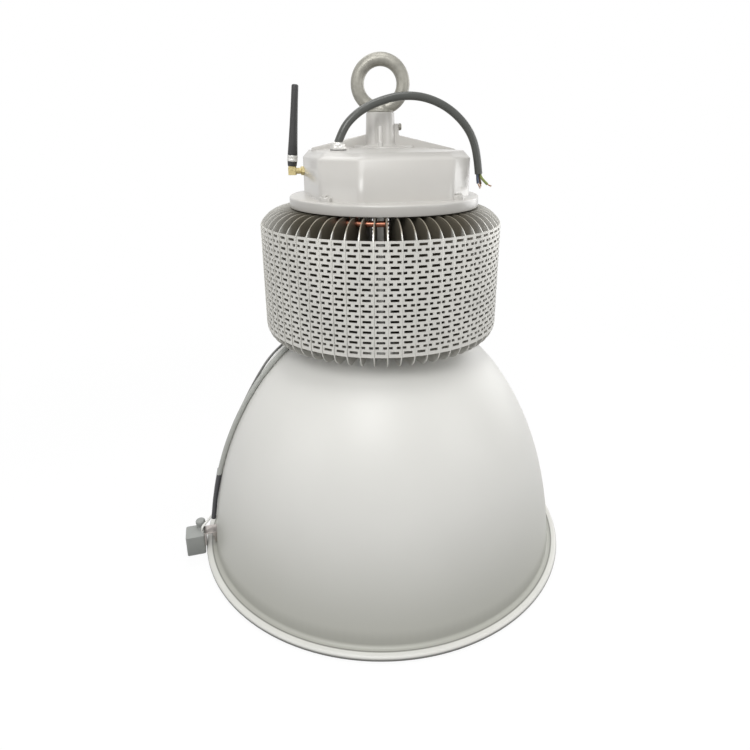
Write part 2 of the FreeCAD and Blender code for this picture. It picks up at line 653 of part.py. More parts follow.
def make_gland():
    """Nickel gland: hexagon body, domed nut round the cable, lock nut under the roof."""
    at = {"x": "gland_x", "y": "gland_y"}
    body = hexagon("GlandHex", "2 * gland_radius", "gland_hex_depth", z="gland_seat", **at)
    stub = cylinder("GlandStub", "gland_bore", "gland_seat - ceiling_z + 6", z="ceiling_z - 6", **at)
    bore = cylinder("GlandPassage", "cable_radius", 40, z="ceiling_z - 10", **at)
    part(cut("GlandBody", fuse("GlandBodyBlank", [body, stub]), bore), "cable_gland_body")
    dome = cylinder("GlandDome", "gland_radius", "gland_top - gland_seat - gland_hex_depth",
                    z="gland_seat + gland_hex_depth", **at)
    doc.recompute()
    rounded = doc.addObject("Part::Fillet", "GlandDomeRounded")
    rounded.Base = dome
    top = [i + 1 for i, e in enumerate(dome.Shape.Edges)
           if e.BoundBox.ZMin > SIZES["gland_top"] - 0.01]
    rounded.Edges = [(i, SIZES["gland_edge"], SIZES["gland_edge"]) for i in top]
    seat = bind(doc.addObject("Part::Cylinder", "CableSeat"), Radius="cable_radius")
    seat.Height = 12
    seat.Placement = Placement(cable_start(), Rotation(Vector(0, 0, 1), cable_heading()))
    part(cut("GlandNut", rounded, seat), "cable_gland_nut")
    ring = hexagon("GlandLockHex", 13, 3, z="ceiling_z - 3", **at)
    ring_bore = cylinder("GlandLockBore", "gland_bore", 10, z="ceiling_z - 6", **at)
    part(cut("GlandLockNut", ring, ring_bore), "gland_lock_nut")


def make_cable():
    """Cable from the gland over the housing to its stripped end, and its three cores."""
    points = [cable_start()] + [Vector(*p) for p in CABLE_ROUTE[1:]]
    path, radii = rounded_route(points)
    part(tube("Cable", path, "cable_radius"), "power_cable")
    print("cable radii", radii, "length", round(path.Length, 1))
    end = points[-1]
    heading = (end - points[-2]).normalize()
    right = heading.cross(Vector(0, 1, 0)).normalize()
    forward = heading.cross(right)

    def beyond(across, ahead, down):
        return end + right * across + forward * ahead + heading * down

    # each core: its seat in the end face, two points of its insulation, its wire's tip
    cores = {
        "core_blue": ((-1.5, 0.8, 0), (-1.7, 1.2, 5), (-1.6, 1.5, 9), (0.6, 1.9, 14.5)),
        "core_green_yellow": ((1.5, 0.8, 0), (3.9, 1.4, 6.5), (7.6, 2.0, 11), (11.7, 2.4, 13.6)),
        "core_brown": ((0, -1.8, 0), (1.2, -3.2, 6), (1.8, -3.7, 10.5), (2, -3.9, 13.5)),
    }
    for label, (seat, middle, insulation_end, tip) in cores.items():
        start = beyond(*seat)
        stops = [start, start + heading * 2.5, beyond(*middle), beyond(*insulation_end)]
        path, _ = rounded_route(stops)
        name = label.title().replace("_", "")
        insulation = tube(f"{name}Insulation", path, "core_radius")
        bare = beyond(*tip) - stops[-1]
        strand = bind(doc.addObject("Part::Cylinder", f"{name}Strand"), Radius="strand_radius")
        strand.Height = bare.Length
        strand.Placement = Placement(stops[-1], Rotation(Vector(0, 0, 1), bare))
        part(fuse(name, [insulation, strand]), label)


# ---------------------------------------------------------------- antenna

def antenna_turn():
    return Rotation(Vector(0, 1, 0), -SIZES["antenna_lean"])


def make_antenna():
    """Tapered rubber whip with a pale ring let into it, on a brass elbow."""
    body = body_named("WhipBody")
    ring_low, ring_high = 4.9, 11
    profile = [(0, 0), ("antenna_foot - 0.8", 0), ("antenna_foot", ring_low - 0.2),
               ("antenna_foot - 0.4", ring_low), ("antenna_foot - 0.4", ring_high),
               ("antenna_foot", ring_high), ("antenna_tip + 0.3", "antenna_length - 20"),
               ("antenna_tip", "antenna_length - 1.6"),
               ("antenna_tip - 1.6", "antenna_length", 1.6, 1), (0, "antenna_length")]
    revolve(body, sketch_on(body, "WhipProfile", "XZ_Plane", profile), "Moulding")
    spot = {"x": "antenna_x", "y": "antenna_y", "z": "antenna_z"}
    place(body, rotation=antenna_turn(), **spot)
    part(body, "antenna_whip")
    outer = cylinder("BandOuter", "antenna_foot + 0.3", ring_high - ring_low, z=ring_low)
    inner = cylinder("BandInner", "antenna_foot - 0.4", 20)
    band = cut("AntennaBand", outer, inner)
    place(band, rotation=antenna_turn(), **spot)
    part(band, "antenna_band")


def stub_placement(distance):
    """Place on the elbow's level axis, measured inwards from the whip towards the housing."""
    inward = polar(SIZES["stub_azimuth"], -1)
    seat = Vector(SIZES["antenna_x"], SIZES["antenna_y"], SIZES["elbow_z"])
    return Placement(seat + inward * distance, Rotation(Vector(0, 0, 1), inward))


def face_distance():
    """From the whip's axis to the housing's flat side, along the elbow."""
    apothem = SIZES["body_radius"] * math.cos(math.radians(SIZES["body_half"]))
    outward = polar(SIZES["stub_azimuth"], 1)
    centre = Vector(SIZES["housing_shift"], 0, 0)
    whip = Vector(SIZES["antenna_x"], SIZES["antenna_y"], 0)
    return (whip - centre).dot(outward) - apothem


def set_along_stub(thing, distance):
    thing.Placement = stub_placement(distance)
    return thing


def antenna_stub_bore():
    bore = doc.addObject("Part::Cylinder", "StubBore")
    bind(bore, Radius="elbow_radius - 0.6")
    bore.Height = 12
    return set_along_stub(bore, face_distance() - 2)


def make_elbow():
    """Brass right-angle connector and the hexagon nut that holds it to the housing."""
    nut_depth = 3
    length = face_distance() - nut_depth
    barrel = set_along_stub(bind(doc.addObject("Part::Cylinder", "Barrel"), Radius="elbow_radius"), 0)
    barrel.Height = length
    stub = set_along_stub(bind(doc.addObject("Part::Cylinder", "Stub"), Radius="elbow_radius - 0.6"), 0)
    stub.Height = face_distance() + 6
    corner = block("Corner", 7.6, 7.6, "antenna_z - elbow_z + 4 - 1",
                   x="antenna_x - 3.8", y="antenna_y - 3.8", z="elbow_z - 4")
    post = cylinder("ElbowPost", "antenna_foot - 1", 6, x="antenna_x", y="antenna_y", z="antenna_z - 4")
    above = block("AboveElbow", 40, 40, 20, rotation=antenna_turn())
    level = antenna_turn().multVec(Vector(-20, -20, 0))
    above.Placement = Placement(whip_foot() + level, antenna_turn())
    elbow = fuse("ElbowBlank", [barrel, stub, corner, post])
    part(cut("Elbow", elbow, above), "antenna_elbow")
    nut = hexagon("StubNutBlank", 8, nut_depth)
    set_along_stub(nut, length)
    hole = set_along_stub(bind(doc.addObject("Part::Cylinder", "StubNutBore"),
                               Radius="elbow_radius - 0.6"), length - 1)
    hole.Height = 10
    part(cut("StubNut", nut, hole), "antenna_nut")


def whip_foot():
    return Vector(SIZES["antenna_x"], SIZES["antenna_y"], SIZES["antenna_z"])


# ---------------------------------------------------------------- LED unit

def make_led_unit():
    """Board with its LEDs under the spreader, behind a glass held by a screwed ring."""
    board_low = "spreader_low - board_sheet"
    board = cylinder("LedBoardDisc", "board_radius", "board_sheet", z=board_low)
    wires = cylinder("LedBoardHole", 5, 10, z="spreader_low - 6")
    part(cut("LedBoard", board, wires), "led_board")
    chips = []
    for ring, count in ((16, 6), (29, 12), (42, 18)):
        for i in range(count):
            azimuth = 360 * i / count
            chip = block(f"Chip{ring}x{i}", 5, 5, 1.2)
            corner = Rotation(Vector(0, 0, 1), azimuth).multVec(Vector(ring - 2.5, -2.5, 0))
            chip.Placement = Placement(corner + Vector(0, 0, value(f"{board_low} - 1.2")),
                                       Rotation(Vector(0, 0, 1), azimuth))
            chips.append(chip)
    part(group("LedChips", chips), "led_chips")
    lens_low = "holder_low + 2.5"
    part(cylinder("Lens", "lens_radius", "lens_sheet", z=lens_low), "glass_lens")
    lens_top = "holder_low + 2.5 + lens_sheet"
    seal = cylinder("LensSealDisc", "lens_radius", "spreader_low - board_sheet - 1.3 - lens_sheet - 2.5"
                    " - holder_low", z=lens_top)
    seal_bore = cylinder("LensSealBore", "board_radius - 2", 20, z="holder_low")
    part(cut("LensSeal", seal, seal_bore), "lens_gasket")
    body = body_named("HolderBody")
    profile = [("holder_lip", "holder_low"), ("holder_radius - 2", "holder_low"),
               ("holder_radius", "holder_low + 2", 2, 1), ("holder_radius", "spreader_low"),
               ("holder_bore", "spreader_low"), ("holder_bore", lens_low), ("holder_lip", lens_low)]
    revolve(body, sketch_on(body, "HolderProfile", "XZ_Plane", profile), "Turning")
    holes = [cylinder(f"HolderHole{i}", 1.5, 20, **circle_place(60, 6, i, "holder_low - 2", 30))
             for i in range(6)]
    part(cut("Holder", body, fuse("HolderHoles", holes)), "lens_holder")
    part(group("HolderScrews", [screw(f"HolderScrew{i}", 1.5, 3, "holder_low", "spreader_low + 4",
                                      circle_place(60, 6, i, 0, 30)) for i in range(6)]),
         "lens_holder_screws")
    underside = "neck_z - wall * sin(neck_angle)"
    part(group("ReflectorScrews", [screw(f"ReflectorScrew{i}", 1.6, 3.2, underside, "spreader_low + 4",
                                         circle_place(75, 6, i, 0)) for i in range(6)]),
         "reflector_screws")


def screw(name, radius, head_radius, face, tip, spot):
    """Pan-head screw driven upwards from a face."""
    shank = cylinder(f"{name}Shank", radius, f"({tip}) - ({face})", **{**spot, "z": face})
    head = cylinder(f"{name}Head", head_radius, 1.8, **{**spot, "z": f"({face}) - 1.8"})
    return fuse(name, [shank, head])


# ---------------------------------------------------------------- sensor

def sensor_placement(radial, along, z):
    """Place in the sensor's own frame: X outwards, Y round the rim towards the front."""
    azimuth = SIZES["sensor_azimuth"]
    outward = polar(azimuth, 1)
    round_rim = polar(azimuth + 90, 1)
    spot = outward * radial + round_rim * along + Vector(0, 0, z)
    return Placement(spot, Rotation(Vector(0, 0, 1), azimuth - 90))


def at_sensor(thing, radial, along, z):
    thing.Placement = sensor_placement(value(radial), value(along), value(z))
    return thing


def sensor_cylinder(name, radius, height):
    thing = doc.addObject("Part::Cylinder", name)
    return bind(thing, Radius=radius, Height=height)


def bracket_bolt(name, radius, start, length):
    """Level cylinder through the bracket's tab and the reflector's wall."""
    bolt = sensor_cylinder(name, radius, length)
    spot = sensor_placement(value(start), 0, 17)
    bolt.Placement = Placement(spot.Base, spot.Rotation.multiply(Rotation(Vector(0, 1, 0), 90)))
    return bolt


def make_sensor():
    """Small grey box beside the rim, on a folded bracket, with a thumb nut on top."""
    high = "sensor_high - sensor_low"
    box = doc.addObject("Part::Box", "SensorBlank")
    bind(box, Length="sensor_long", Width="sensor_wide", Height=high)
    doc.recompute()
    rounded = doc.addObject("Part::Fillet", "SensorRounded")
    rounded.Base = box
    edges = [i + 1 for i, e in enumerate(box.Shape.Edges)
             if e.BoundBox.XMin > SIZES["sensor_long"] - 0.01]
    rounded.Edges = [(i, 2, 2) for i in edges]
    dimple = sensor_cylinder("Dimple", 1.2, 4)
    dimple.Placement.Base = Vector(13, 11, value(high) - 3)
    window = sensor_cylinder("WindowRecess", 5, 2)
    window.Placement.Base = Vector(10, 11, 0)
    stud = sensor_cylinder("StudHole", "stud_radius", 10)
    stud.Placement.Base = Vector(SIZES["knob_radial"], value("sensor_wide / 2 + knob_along"),
                                 value(high) - 8)
    shell = cut("SensorBox", rounded, fuse("SensorHoles", [dimple, window, stud]))
    part(at_sensor(shell, "sensor_near", "0 - sensor_wide / 2", "sensor_low"), "sensor_box")
    glass = sensor_cylinder("Window", 5, 2)
    part(at_sensor(glass, "sensor_near + 10", 0, "sensor_low"), "sensor_window")
    blank = sensor_cylinder("KnobBlank", "knob_radius", "knob_height")
    doc.recompute()
    knob = doc.addObject("Part::Fillet", "Knob")
    knob.Base = blank
    crown = [i + 1 for i, e in enumerate(blank.Shape.Edges)
             if e.BoundBox.ZMin > SIZES["knob_height"] - 0.01]
    knob.Edges = [(i, SIZES["knob_edge"], SIZES["knob_edge"]) for i in crown]
    post = sensor_cylinder("KnobPost", "stud_radius", 8)
    post.Placement.Base = Vector(0, 0, -8)
    thumb = fuse("ThumbNut", [knob, post])
    part(at_sensor(thumb, "sensor_near + knob_radial", "knob_along", "sensor_high"),
         "sensor_thumb_nut")


def make_bracket(reflector):
    """Folded strip: tab bent to the reflector's side, level arm over the rim, tab on the box."""
    tab_r, sheet = 198.7, 1.5
    inside_wall = 197
    parts = []
    for name, low, high, near, far in (("InnerTab", 11, 24, inside_wall, tab_r + sheet),
                                       ("Arm", 22.5, 24, tab_r, "sensor_near"),
                                       ("OuterTab", 8, 24, f"sensor_near - {sheet}", "sensor_near")):
        strip = doc.addObject("Part::Box", f"Bracket{name}")
        bind(strip, Length=f"({far}) - ({near})", Height=f"{high} - {low}")
        strip.Width = 14
        parts.append(at_sensor(strip, near, -7, low))
    seated = cut("BracketSeated", fuse("BracketBlank", parts), reflector)
    hole = bracket_bolt("BracketHole", 2, "mouth_r - 6", 10)
    part(cut("Bracket", seated, hole), "sensor_bracket")
    shank = bracket_bolt("BracketShank", 2, 193, 8.7)
    head = bracket_bolt("BracketHead", 3.4, tab_r + sheet, 2)
    part(fuse("BracketScrew", [shank, head]), "bracket_screw")
    nut = cut("BracketNutSeated", bracket_bolt("BracketNutBlank", 3.6, 193, 3.6), reflector)
    bore = bracket_bolt("BracketNutBore", 2, 190, 10)
    part(cut("BracketNut", nut, bore), "bracket_nut")


LEAD_COLUMN = -13


def conduit_entry(z):
    x, y = polar_xy(f"{LEAD_COLUMN * PITCH}", 62)
    return {"x": x, "y": y, "z": z}


def lead_entry(z):
    x, y = polar_xy(f"{(LEAD_COLUMN - 1) * PITCH}", 67)
    return {"x": x, "y": y, "z": z}


def dome_arcs():
    """Centre, radius and end angles of the reflector's three outer arcs, top first."""
    stops = [("neck_r", "neck_z", "neck_angle"), ("crown_r", "crown_z", "crown_angle"),
             ("waist_r", "waist_z", "waist_angle"), ("mouth_r", "mouth_z", None)]
    radii = [SIZES[n] for n in ("crown_arc", "waist_arc", "skirt_arc")]
    arcs = []
    for (first, last), radius in zip(zip(stops, stops[1:]), radii):
        start = Vector(SIZES[first[0]], SIZES[first[1]], 0)
        end = Vector(SIZES[last[0]], SIZES[last[1]], 0)
        chord = end - start
        side = Vector(chord.y, -chord.x, 0).normalize()
        centre = (start + end) * 0.5 + side * math.sqrt(radius ** 2 - (chord.Length / 2) ** 2)
        arcs.append((centre, radius, start, end))
    return arcs


def dome_point(z, gap):
    """Radius and height of the point that stands off the dome's outer face at a height."""
    for centre, radius, start, end in dome_arcs():
        if end.y <= z <= start.y:
            r = centre.x + math.sqrt(radius ** 2 - (z - centre.y) ** 2)
            normal = Vector(r - centre.x, z - centre.y, 0).normalize()
            return r + normal.x * gap, z + normal.y * gap
    raise ValueError(z)


def make_conduit():
    """Grey conduit from the housing, out under the fins and down the reflector's side."""
    azimuth = LEAD_COLUMN * PITCH
    gap = SIZES["conduit_gap"]
    heights = (236, 221, 203, 181, 155, 126, 95, 63, 34)
    inside = [(62, SIZES["base_low"]), (62, 300), (88, 276), (88, 253.5)]
    along = [dome_point(z, gap) for z in heights]
    points = [polar(azimuth, r, z) for r, z in inside + along]
    path, _ = rounded_route(points)
    part(tube("Conduit", path, "conduit_radius"), "sensor_conduit")


def make_lead():
    """Thin sensor lead beside the conduit, its heat-shrink sleeve and two bare-ended wires."""
    column = (LEAD_COLUMN - 1) * PITCH
    inside = [(column, 67, SIZES["base_low"]), (column, 67, 300), (column, 88, 274), (column, 92, 254)]
    outside = [(-80.2, 238, 7), (-79.3, 218, 8), (-78.6, 196, 5), (-78.3, 170, 3.2),
               (-78.1, 140, 3), (-77.9, 110, 3)]
    sleeve_top, sleeve_low = (-77.8, 92, 3.4), (-77.6, 38, 3.4)
    route = [polar(a, r, z) for a, r, z in inside]
    route += [polar(a, *dome_point(z, gap)) for a, z, gap in outside + [sleeve_top]]
    path, _ = rounded_route(route)
    lead = tube("LeadTube", path, "lead_radius")
    stops = [sleeve_top, (-77.7, 65, 3.4), sleeve_low]
    covered = [polar(a, *dome_point(z, gap)) for a, z, gap in stops]
    path, _ = rounded_route(covered)
    sleeve = part(tube("Sleeve", path, "sleeve_radius"), "heat_shrink_sleeve")
    part(cut("Lead", lead, sleeve), "sensor_lead")
    wires = []
    end = covered[-1]
    heading = (covered[-1] - covered[-2]).normalize()
    for number, side in enumerate((-1.4, 1.4)):
        start = end + polar(sleeve_low[0] + 90, side)
        landing = sensor_placement(SIZES["sensor_near"] + 2.2, 1.8 + side, SIZES["sensor_high"]).Base
        route = [start, start + heading * 3, landing + Vector(0, 0, 4.5), landing]
        path, _ = rounded_route(route)
        wires.append(tube(f"SensorWire{number}", path, "wire_radius"))
    part(group("SensorWires", wires), "sensor_wires")


# ---------------------------------------------------------------- the document

def make_all():
    reflector = make_reflector()
    make_fins()
    make_spreader(make_heat_pipes())
    make_posts()
    make_housing()
    make_housing_base()
    make_electronics()
    make_eye_bolt()
    make_lock_screw()
    make_gland()
    make_cable()
    make_antenna()
    make_elbow()
    make_led_unit()
    make_sensor()
    make_bracket(reflector)
    make_conduit()
    make_lead()
    doc.recompute()


def check_all():
    for thing in doc.Objects:
        faults = [state for state in thing.State if state in ("Invalid", "Error")]
        if faults:
            raise RuntimeError(f"{thing.Name} ({thing.Label}) is {faults}")
    for thing in PARTS:
        if thing.Shape.isNull() or not thing.Shape.isValid() or not thing.Shape.Solids:
            raise RuntimeError(f"{thing.Label} has no valid solid")


def export_all():
    os.makedirs("parts", exist_ok=True)
    for thing in PARTS:
        thing.Shape.exportStep(f"parts/{thing.Label}.step")


make_all()
check_all()
export_all()
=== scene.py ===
import math
from contextlib import contextmanager

import bmesh
import bpy
from bpy.props import FloatProperty, FloatVectorProperty, IntProperty, PointerProperty
from mathutils import Matrix, Vector


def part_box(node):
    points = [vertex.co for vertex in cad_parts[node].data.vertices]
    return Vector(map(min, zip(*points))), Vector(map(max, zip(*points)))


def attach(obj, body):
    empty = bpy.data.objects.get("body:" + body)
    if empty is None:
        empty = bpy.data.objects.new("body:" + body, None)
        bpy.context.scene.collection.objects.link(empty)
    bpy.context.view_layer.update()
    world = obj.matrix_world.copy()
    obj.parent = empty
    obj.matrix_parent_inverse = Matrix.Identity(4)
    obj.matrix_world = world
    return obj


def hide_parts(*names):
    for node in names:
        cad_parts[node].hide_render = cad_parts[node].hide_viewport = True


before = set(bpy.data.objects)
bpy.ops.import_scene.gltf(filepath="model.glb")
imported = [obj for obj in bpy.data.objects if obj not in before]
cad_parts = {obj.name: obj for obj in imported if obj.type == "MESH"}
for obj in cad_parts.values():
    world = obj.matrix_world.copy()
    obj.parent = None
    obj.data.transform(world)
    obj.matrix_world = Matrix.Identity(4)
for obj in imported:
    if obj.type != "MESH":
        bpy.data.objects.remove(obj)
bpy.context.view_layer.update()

bl_info = {
    "name": "High Bay Light",
    "version": (1, 0, 0),
    "blender": (4, 5, 0),
    "location": "View3D > Sidebar > Light",
    "description": "Dresses a packed high bay light and sets it in a plain studio",
    "category": "Object",
}

MM = 0.001
MOUTH_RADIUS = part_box("reflector")[1].x
SINK_RADIUS = -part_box("fins_left")[0].x
NECK_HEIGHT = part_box("heat_spreader")[0].z
RING_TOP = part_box("eye_bolt")[1].z


# ---------------- sizes and colours

def length(name, description, default):
    return FloatProperty(name=name, description=description, default=default, min=0.0,
                         precision=4, unit="LENGTH", subtype="DISTANCE")


def colour(name, description, default):
    return FloatVectorProperty(name=name, description=description, default=default,
                               size=3, min=0.0, max=1.0, subtype="COLOR")


def share(name, description, default):
    return FloatProperty(name=name, description=description, default=default,
                         min=0.0, max=1.0, subtype="FACTOR")


class ReflectorSettings(bpy.types.PropertyGroup):
    """Spun reflector."""
    mouth_radius: length("Mouth radius", "Outside of the rolled rim", MOUTH_RADIUS)
    wall: length("Wall", "Thickness of the spun sheet", 0.0015)
    steps: IntProperty(name="Steps", description="Faces round the axis", default=144, min=24)
    enamel: colour("Enamel", "Colour of the enamel", (0.74, 0.735, 0.70))
    roughness: share("Roughness", "How dull the enamel is", 0.42)


class HeatSinkSettings(bpy.types.PropertyGroup):
    """Folded fins and heat pipes."""
    radius: length("Radius", "Outside of the perforated band", SINK_RADIUS)
    sheet: length("Sheet", "Thickness of a fin", 0.0011)
    fins: IntProperty(name="Fins", description="Number of folded fins", default=62, min=8)
    aluminium: colour("Aluminium", "Colour of the fins", (0.67, 0.66, 0.62))
    copper: colour("Copper", "Colour of the heat pipes", (0.46, 0.19, 0.12))


class HousingSettings(bpy.types.PropertyGroup):
    """Cast driver housing."""
    corner: length("Corner", "Rounding of the upright corners", 0.0045)
    edge: length("Edge", "Rounding of the eave", 0.0014)
    paint: colour("Paint", "Colour of the powder coat", (0.535, 0.52, 0.49))
    roughness: share("Roughness", "How dull the powder coat is", 0.3)


class HangingSettings(bpy.types.PropertyGroup):
    """Eye bolt and its lock screw."""
    rod: length("Rod", "Radius of the ring's rod", 0.00645)
    steel: colour("Steel", "Colour of the galvanised steel", (0.32, 0.31, 0.27))


class CableSettings(bpy.types.PropertyGroup):
    """Supply cable, gland and cores."""
    diameter: length("Diameter", "Outside of the cable", 0.0076)
    sheath: colour("Sheath", "Colour of the cable", (0.072, 0.075, 0.068))
    nickel: colour("Nickel", "Colour of the gland", (0.66, 0.65, 0.62))


class AntennaSettings(bpy.types.PropertyGroup):
    """Whip antenna."""
    rubber: colour("Rubber", "Colour of the whip", (0.028, 0.028, 0.028))
    brass: colour("Brass", "Colour of the connector", (0.62, 0.52, 0.26))


class SensorSettings(bpy.types.PropertyGroup):
    """Sensor at the rim and its leads."""
    case: colour("Case", "Colour of the sensor's case", (0.33, 0.34, 0.325))
    conduit: colour("Conduit", "Colour of the conduit", (0.44, 0.45, 0.42))


class StudioSettings(bpy.types.PropertyGroup):
    """Floor, lamps and camera."""
    floor: colour("Floor", "Colour the floor throws back", (0.15, 0.15, 0.15))
    sky: FloatProperty(name="Sky", description="Strength of the even light", default=0.38, min=0.0)
    lamps: FloatProperty(name="Lamps", description="Multiplies the power of every lamp",
                         default=1.0, min=0.0)
    distance: length("Distance", "From the axis to the camera, level", 0.5982)
    height: length("Height", "Camera above the floor", 0.4568)


class LightSettings(bpy.types.PropertyGroup):
    """All settings of the light."""
    reflector: PointerProperty(type=ReflectorSettings)
    heat_sink: PointerProperty(type=HeatSinkSettings)
    housing: PointerProperty(type=HousingSettings)
    hanging: PointerProperty(type=HangingSettings)
    cable: PointerProperty(type=CableSettings)
    antenna: PointerProperty(type=AntennaSettings)
    sensor: PointerProperty(type=SensorSettings)
    studio: PointerProperty(type=StudioSettings)


# ---------------- outlines and shells

def at(*spot):
    """Shift to a spot."""
    return Matrix.Translation(spot)


def turned(degrees, axis="Z", size=4):
    """Turn about an axis, as a matrix of that size."""
    return Matrix.Rotation(math.radians(degrees), size, axis)


def polar(azimuth, radius, z=0.0):
    """Point at an azimuth in degrees, counted from the front towards +X."""
    angle = math.radians(azimuth)
    return Vector((radius * math.sin(angle), -radius * math.cos(angle), z))


class Outline:
    """Points of a profile in a plane, in millimetres, laid by straight runs and arcs."""

    def __init__(self, x, y):
        self.points = [Vector((x, y))]

    def line(self, *corners):
        self.points += [Vector(corner) for corner in corners]
        return self

    def arc(self, x, y, radius, turn, steps=6):
        """Arc to a point; turn is 1 for anticlockwise and -1 for clockwise."""
        start, end = self.points[-1], Vector((x, y))
        chord = end - start
        side = Vector((-chord.y, chord.x)).normalized() * turn
        rise = math.sqrt(max(radius ** 2 - chord.length_squared / 4, 0))
        centre = (start + end) / 2 + side * rise
        first = math.atan2(start.y - centre.y, start.x - centre.x)
        sweep = 2 * math.asin(min(1.0, chord.length / 2 / radius)) * turn
        for step in range(1, steps + 1):
            angle = first + sweep * step / steps
            self.points.append(centre + radius * Vector((math.cos(angle), math.sin(angle))))
        return self


class Piece:
    """Gathers closed shells, modelled in millimetres, into one object."""

    def __init__(self, name):
        self.name = name
        self.gathered = bmesh.new()

    @contextmanager
    def shell(self, place=Matrix(), crease=35.0):
        """Closed shell: made at the origin, put in its place and shaded with sharp creases."""
        part = bmesh.new()
        yield part
        bmesh.ops.remove_doubles(part, verts=part.verts, dist=1e-4)
        bmesh.ops.recalc_face_normals(part, faces=part.faces)
        bmesh.ops.transform(part, matrix=place, verts=part.verts)
        for face in part.faces:
            face.smooth = True
        for edge in part.edges:
            edge.smooth = edge.calc_face_angle(0.0) < math.radians(crease)
        mesh = bpy.data.meshes.new("shell")
        part.to_mesh(mesh)
        part.free()
        self.gathered.from_mesh(mesh)
        bpy.data.meshes.remove(mesh)

    def spin(self, outline, steps, closed=False, place=Matrix()):
        """Shell of one profile of (radius, height) points, turned once round the Z axis."""
        with self.shell(place=place) as part:
            spin_profile(part, outline, steps, closed)

    def mesh(self):
        """Mesh of all the shells."""
        mesh = bpy.data.meshes.new(self.name)
        self.gathered.to_mesh(mesh)
        self.gathered.free()
        return mesh

    def done(self, material, replaces=(), slot=None):
        """Object of all the shells, in metres."""
        bmesh.ops.scale(self.gathered, vec=(MM, MM, MM), verts=self.gathered.verts)
        return settle(self.name, self.mesh(), material, replaces)


def add(name, data):
    """New object in the scene."""
    made = bpy.data.objects.new(name, data)
    bpy.context.scene.collection.objects.link(made)
    return made


def settle(name, data, material, replaces):
    """Add a finished piece, give it its material and let it stand for its CAD nodes."""
    piece = add(name, data)
    data.materials.append(material)
    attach(piece, "root")
    if replaces:
        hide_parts(*replaces)
    return piece


def spin_profile(part, outline, steps, closed=False):
    """Turn a profile of (radius, height) points once round the Z axis."""
    verts = [part.verts.new((p.x, 0, p.y)) for p in outline.points]
    nexts = verts[1:] + verts[:1] if closed else verts[1:]
    edges = [part.edges.new(pair) for pair in zip(verts, nexts)]
    bmesh.ops.spin(part, geom=verts + edges, cent=(0, 0, 0), axis=(0, 0, 1),
                   angle=2 * math.pi, steps=steps, use_merge=True)
    bmesh.ops.remove_doubles(part, verts=part.verts, dist=1e-4)


def extrude_outline(part, outline, depth):
    """Thicken a closed outline in the XZ plane, evenly to both sides along Y."""
    verts = [part.verts.new((p.x, -depth / 2, p.y)) for p in outline.points]
    face = part.faces.new(verts)
    thicken(part, [face], (0, depth, 0))


def thicken(part, faces, offset):
    """Pull faces out into a solid of even thickness."""
    lifted = bmesh.ops.extrude_face_region(part, geom=faces)["geom"]
    moved = [g for g in lifted if isinstance(g, bmesh.types.BMVert)]
    bmesh.ops.translate(part, vec=offset, verts=moved)


def round_edges(part, width, segments=3, over=30.0, choose=None):
    """Bevel every edge sharper than an angle, or only those that a test picks."""
    bmesh.ops.recalc_face_normals(part, faces=part.faces)
    picked = [e for e in part.edges
              if len(e.link_faces) == 2 and e.calc_face_angle(0.0) > math.radians(over)
              and (choose is None or choose(e))]
    bmesh.ops.bevel(part, geom=picked, offset=width, offset_type="OFFSET", segments=segments,
                    profile=0.5, affect="EDGES", material=-1, clamp_overlap=True)


def prism(part, sides, radius, low, high, turn=0.0, tip=None):
    """Upright prism of so many sides, its radii measured to a corner at the foot and the tip."""
    bmesh.ops.create_cone(part, cap_ends=True, segments=sides, radius1=radius,
                          radius2=tip or radius, depth=high - low,
                          matrix=at(0, 0, (low + high) / 2) @ turned(turn))


def tube(name, points, radius, material, replaces, sides=10):
    """Round cord on one smooth NURBS spline, its control points given in millimetres."""
    data = bpy.data.curves.new(name, "CURVE")
    data.dimensions = "3D"
    data.bevel_depth = radius * MM
    data.bevel_resolution = sides
    data.resolution_u = 14
    data.use_fill_caps = True
    spline = data.splines.new("NURBS")
    spline.points.add(len(points) - 1)
    for control, point in zip(spline.points, points):
        control.co = (*(axis * MM for axis in point), 1)
    spline.order_u = 3
    spline.use_endpoint_u = True
    return settle(name, data, material, replaces)


# ---------------- shader arithmetic

class Wire:
    """A shader socket that takes part in arithmetic; each step adds a Math node."""

    def __init__(self, graph, socket):
        self.graph = graph
        self.socket = socket

    def step(self, operation, *values):
        inputs = dict(enumerate(values))
        return self.graph.node("ShaderNodeMath", {"operation": operation}, inputs)

    def __add__(self, other):
        return self.step("ADD", self, other)

    __radd__ = __add__

    def __rsub__(self, other):
        return self.step("SUBTRACT", other, self)

    def __mul__(self, other):
        return self.step("MULTIPLY", self, other)

    __rmul__ = __mul__

    def larger(self, other):
        return self.step("MAXIMUM", self, other)

    def __abs__(self):
        return self.step("ABSOLUTE", self)


class Graph:
    """The nodes of a material or of the world."""

    def __init__(self, tree):
        self.tree = tree

    def feed(self, socket, value):
        if isinstance(value, Wire):
            self.tree.links.new(value.socket, socket)
        else:
            socket.default_value = value

    def node(self, kind, settings=None, inputs=None, output=0):
        """Any node: its own settings first, then its sockets, then the output that is read."""
        made = self.tree.nodes.new(kind)
        for name, value in (settings or {}).items():
            setattr(made, name, value)
        for name, value in (inputs or {}).items():
            self.feed(made.inputs[name], value)
        return Wire(self, made.outputs[output])

    def shows_background(self):
        """1 for the rays that show the background: straight, mirrored or through glass."""
        kinds = [self.node("ShaderNodeLightPath", output=f"Is {kind} Ray")
                 for kind in ("Camera", "Glossy", "Transmission")]
        return kinds[0].larger(kinds[1]).larger(kinds[2])


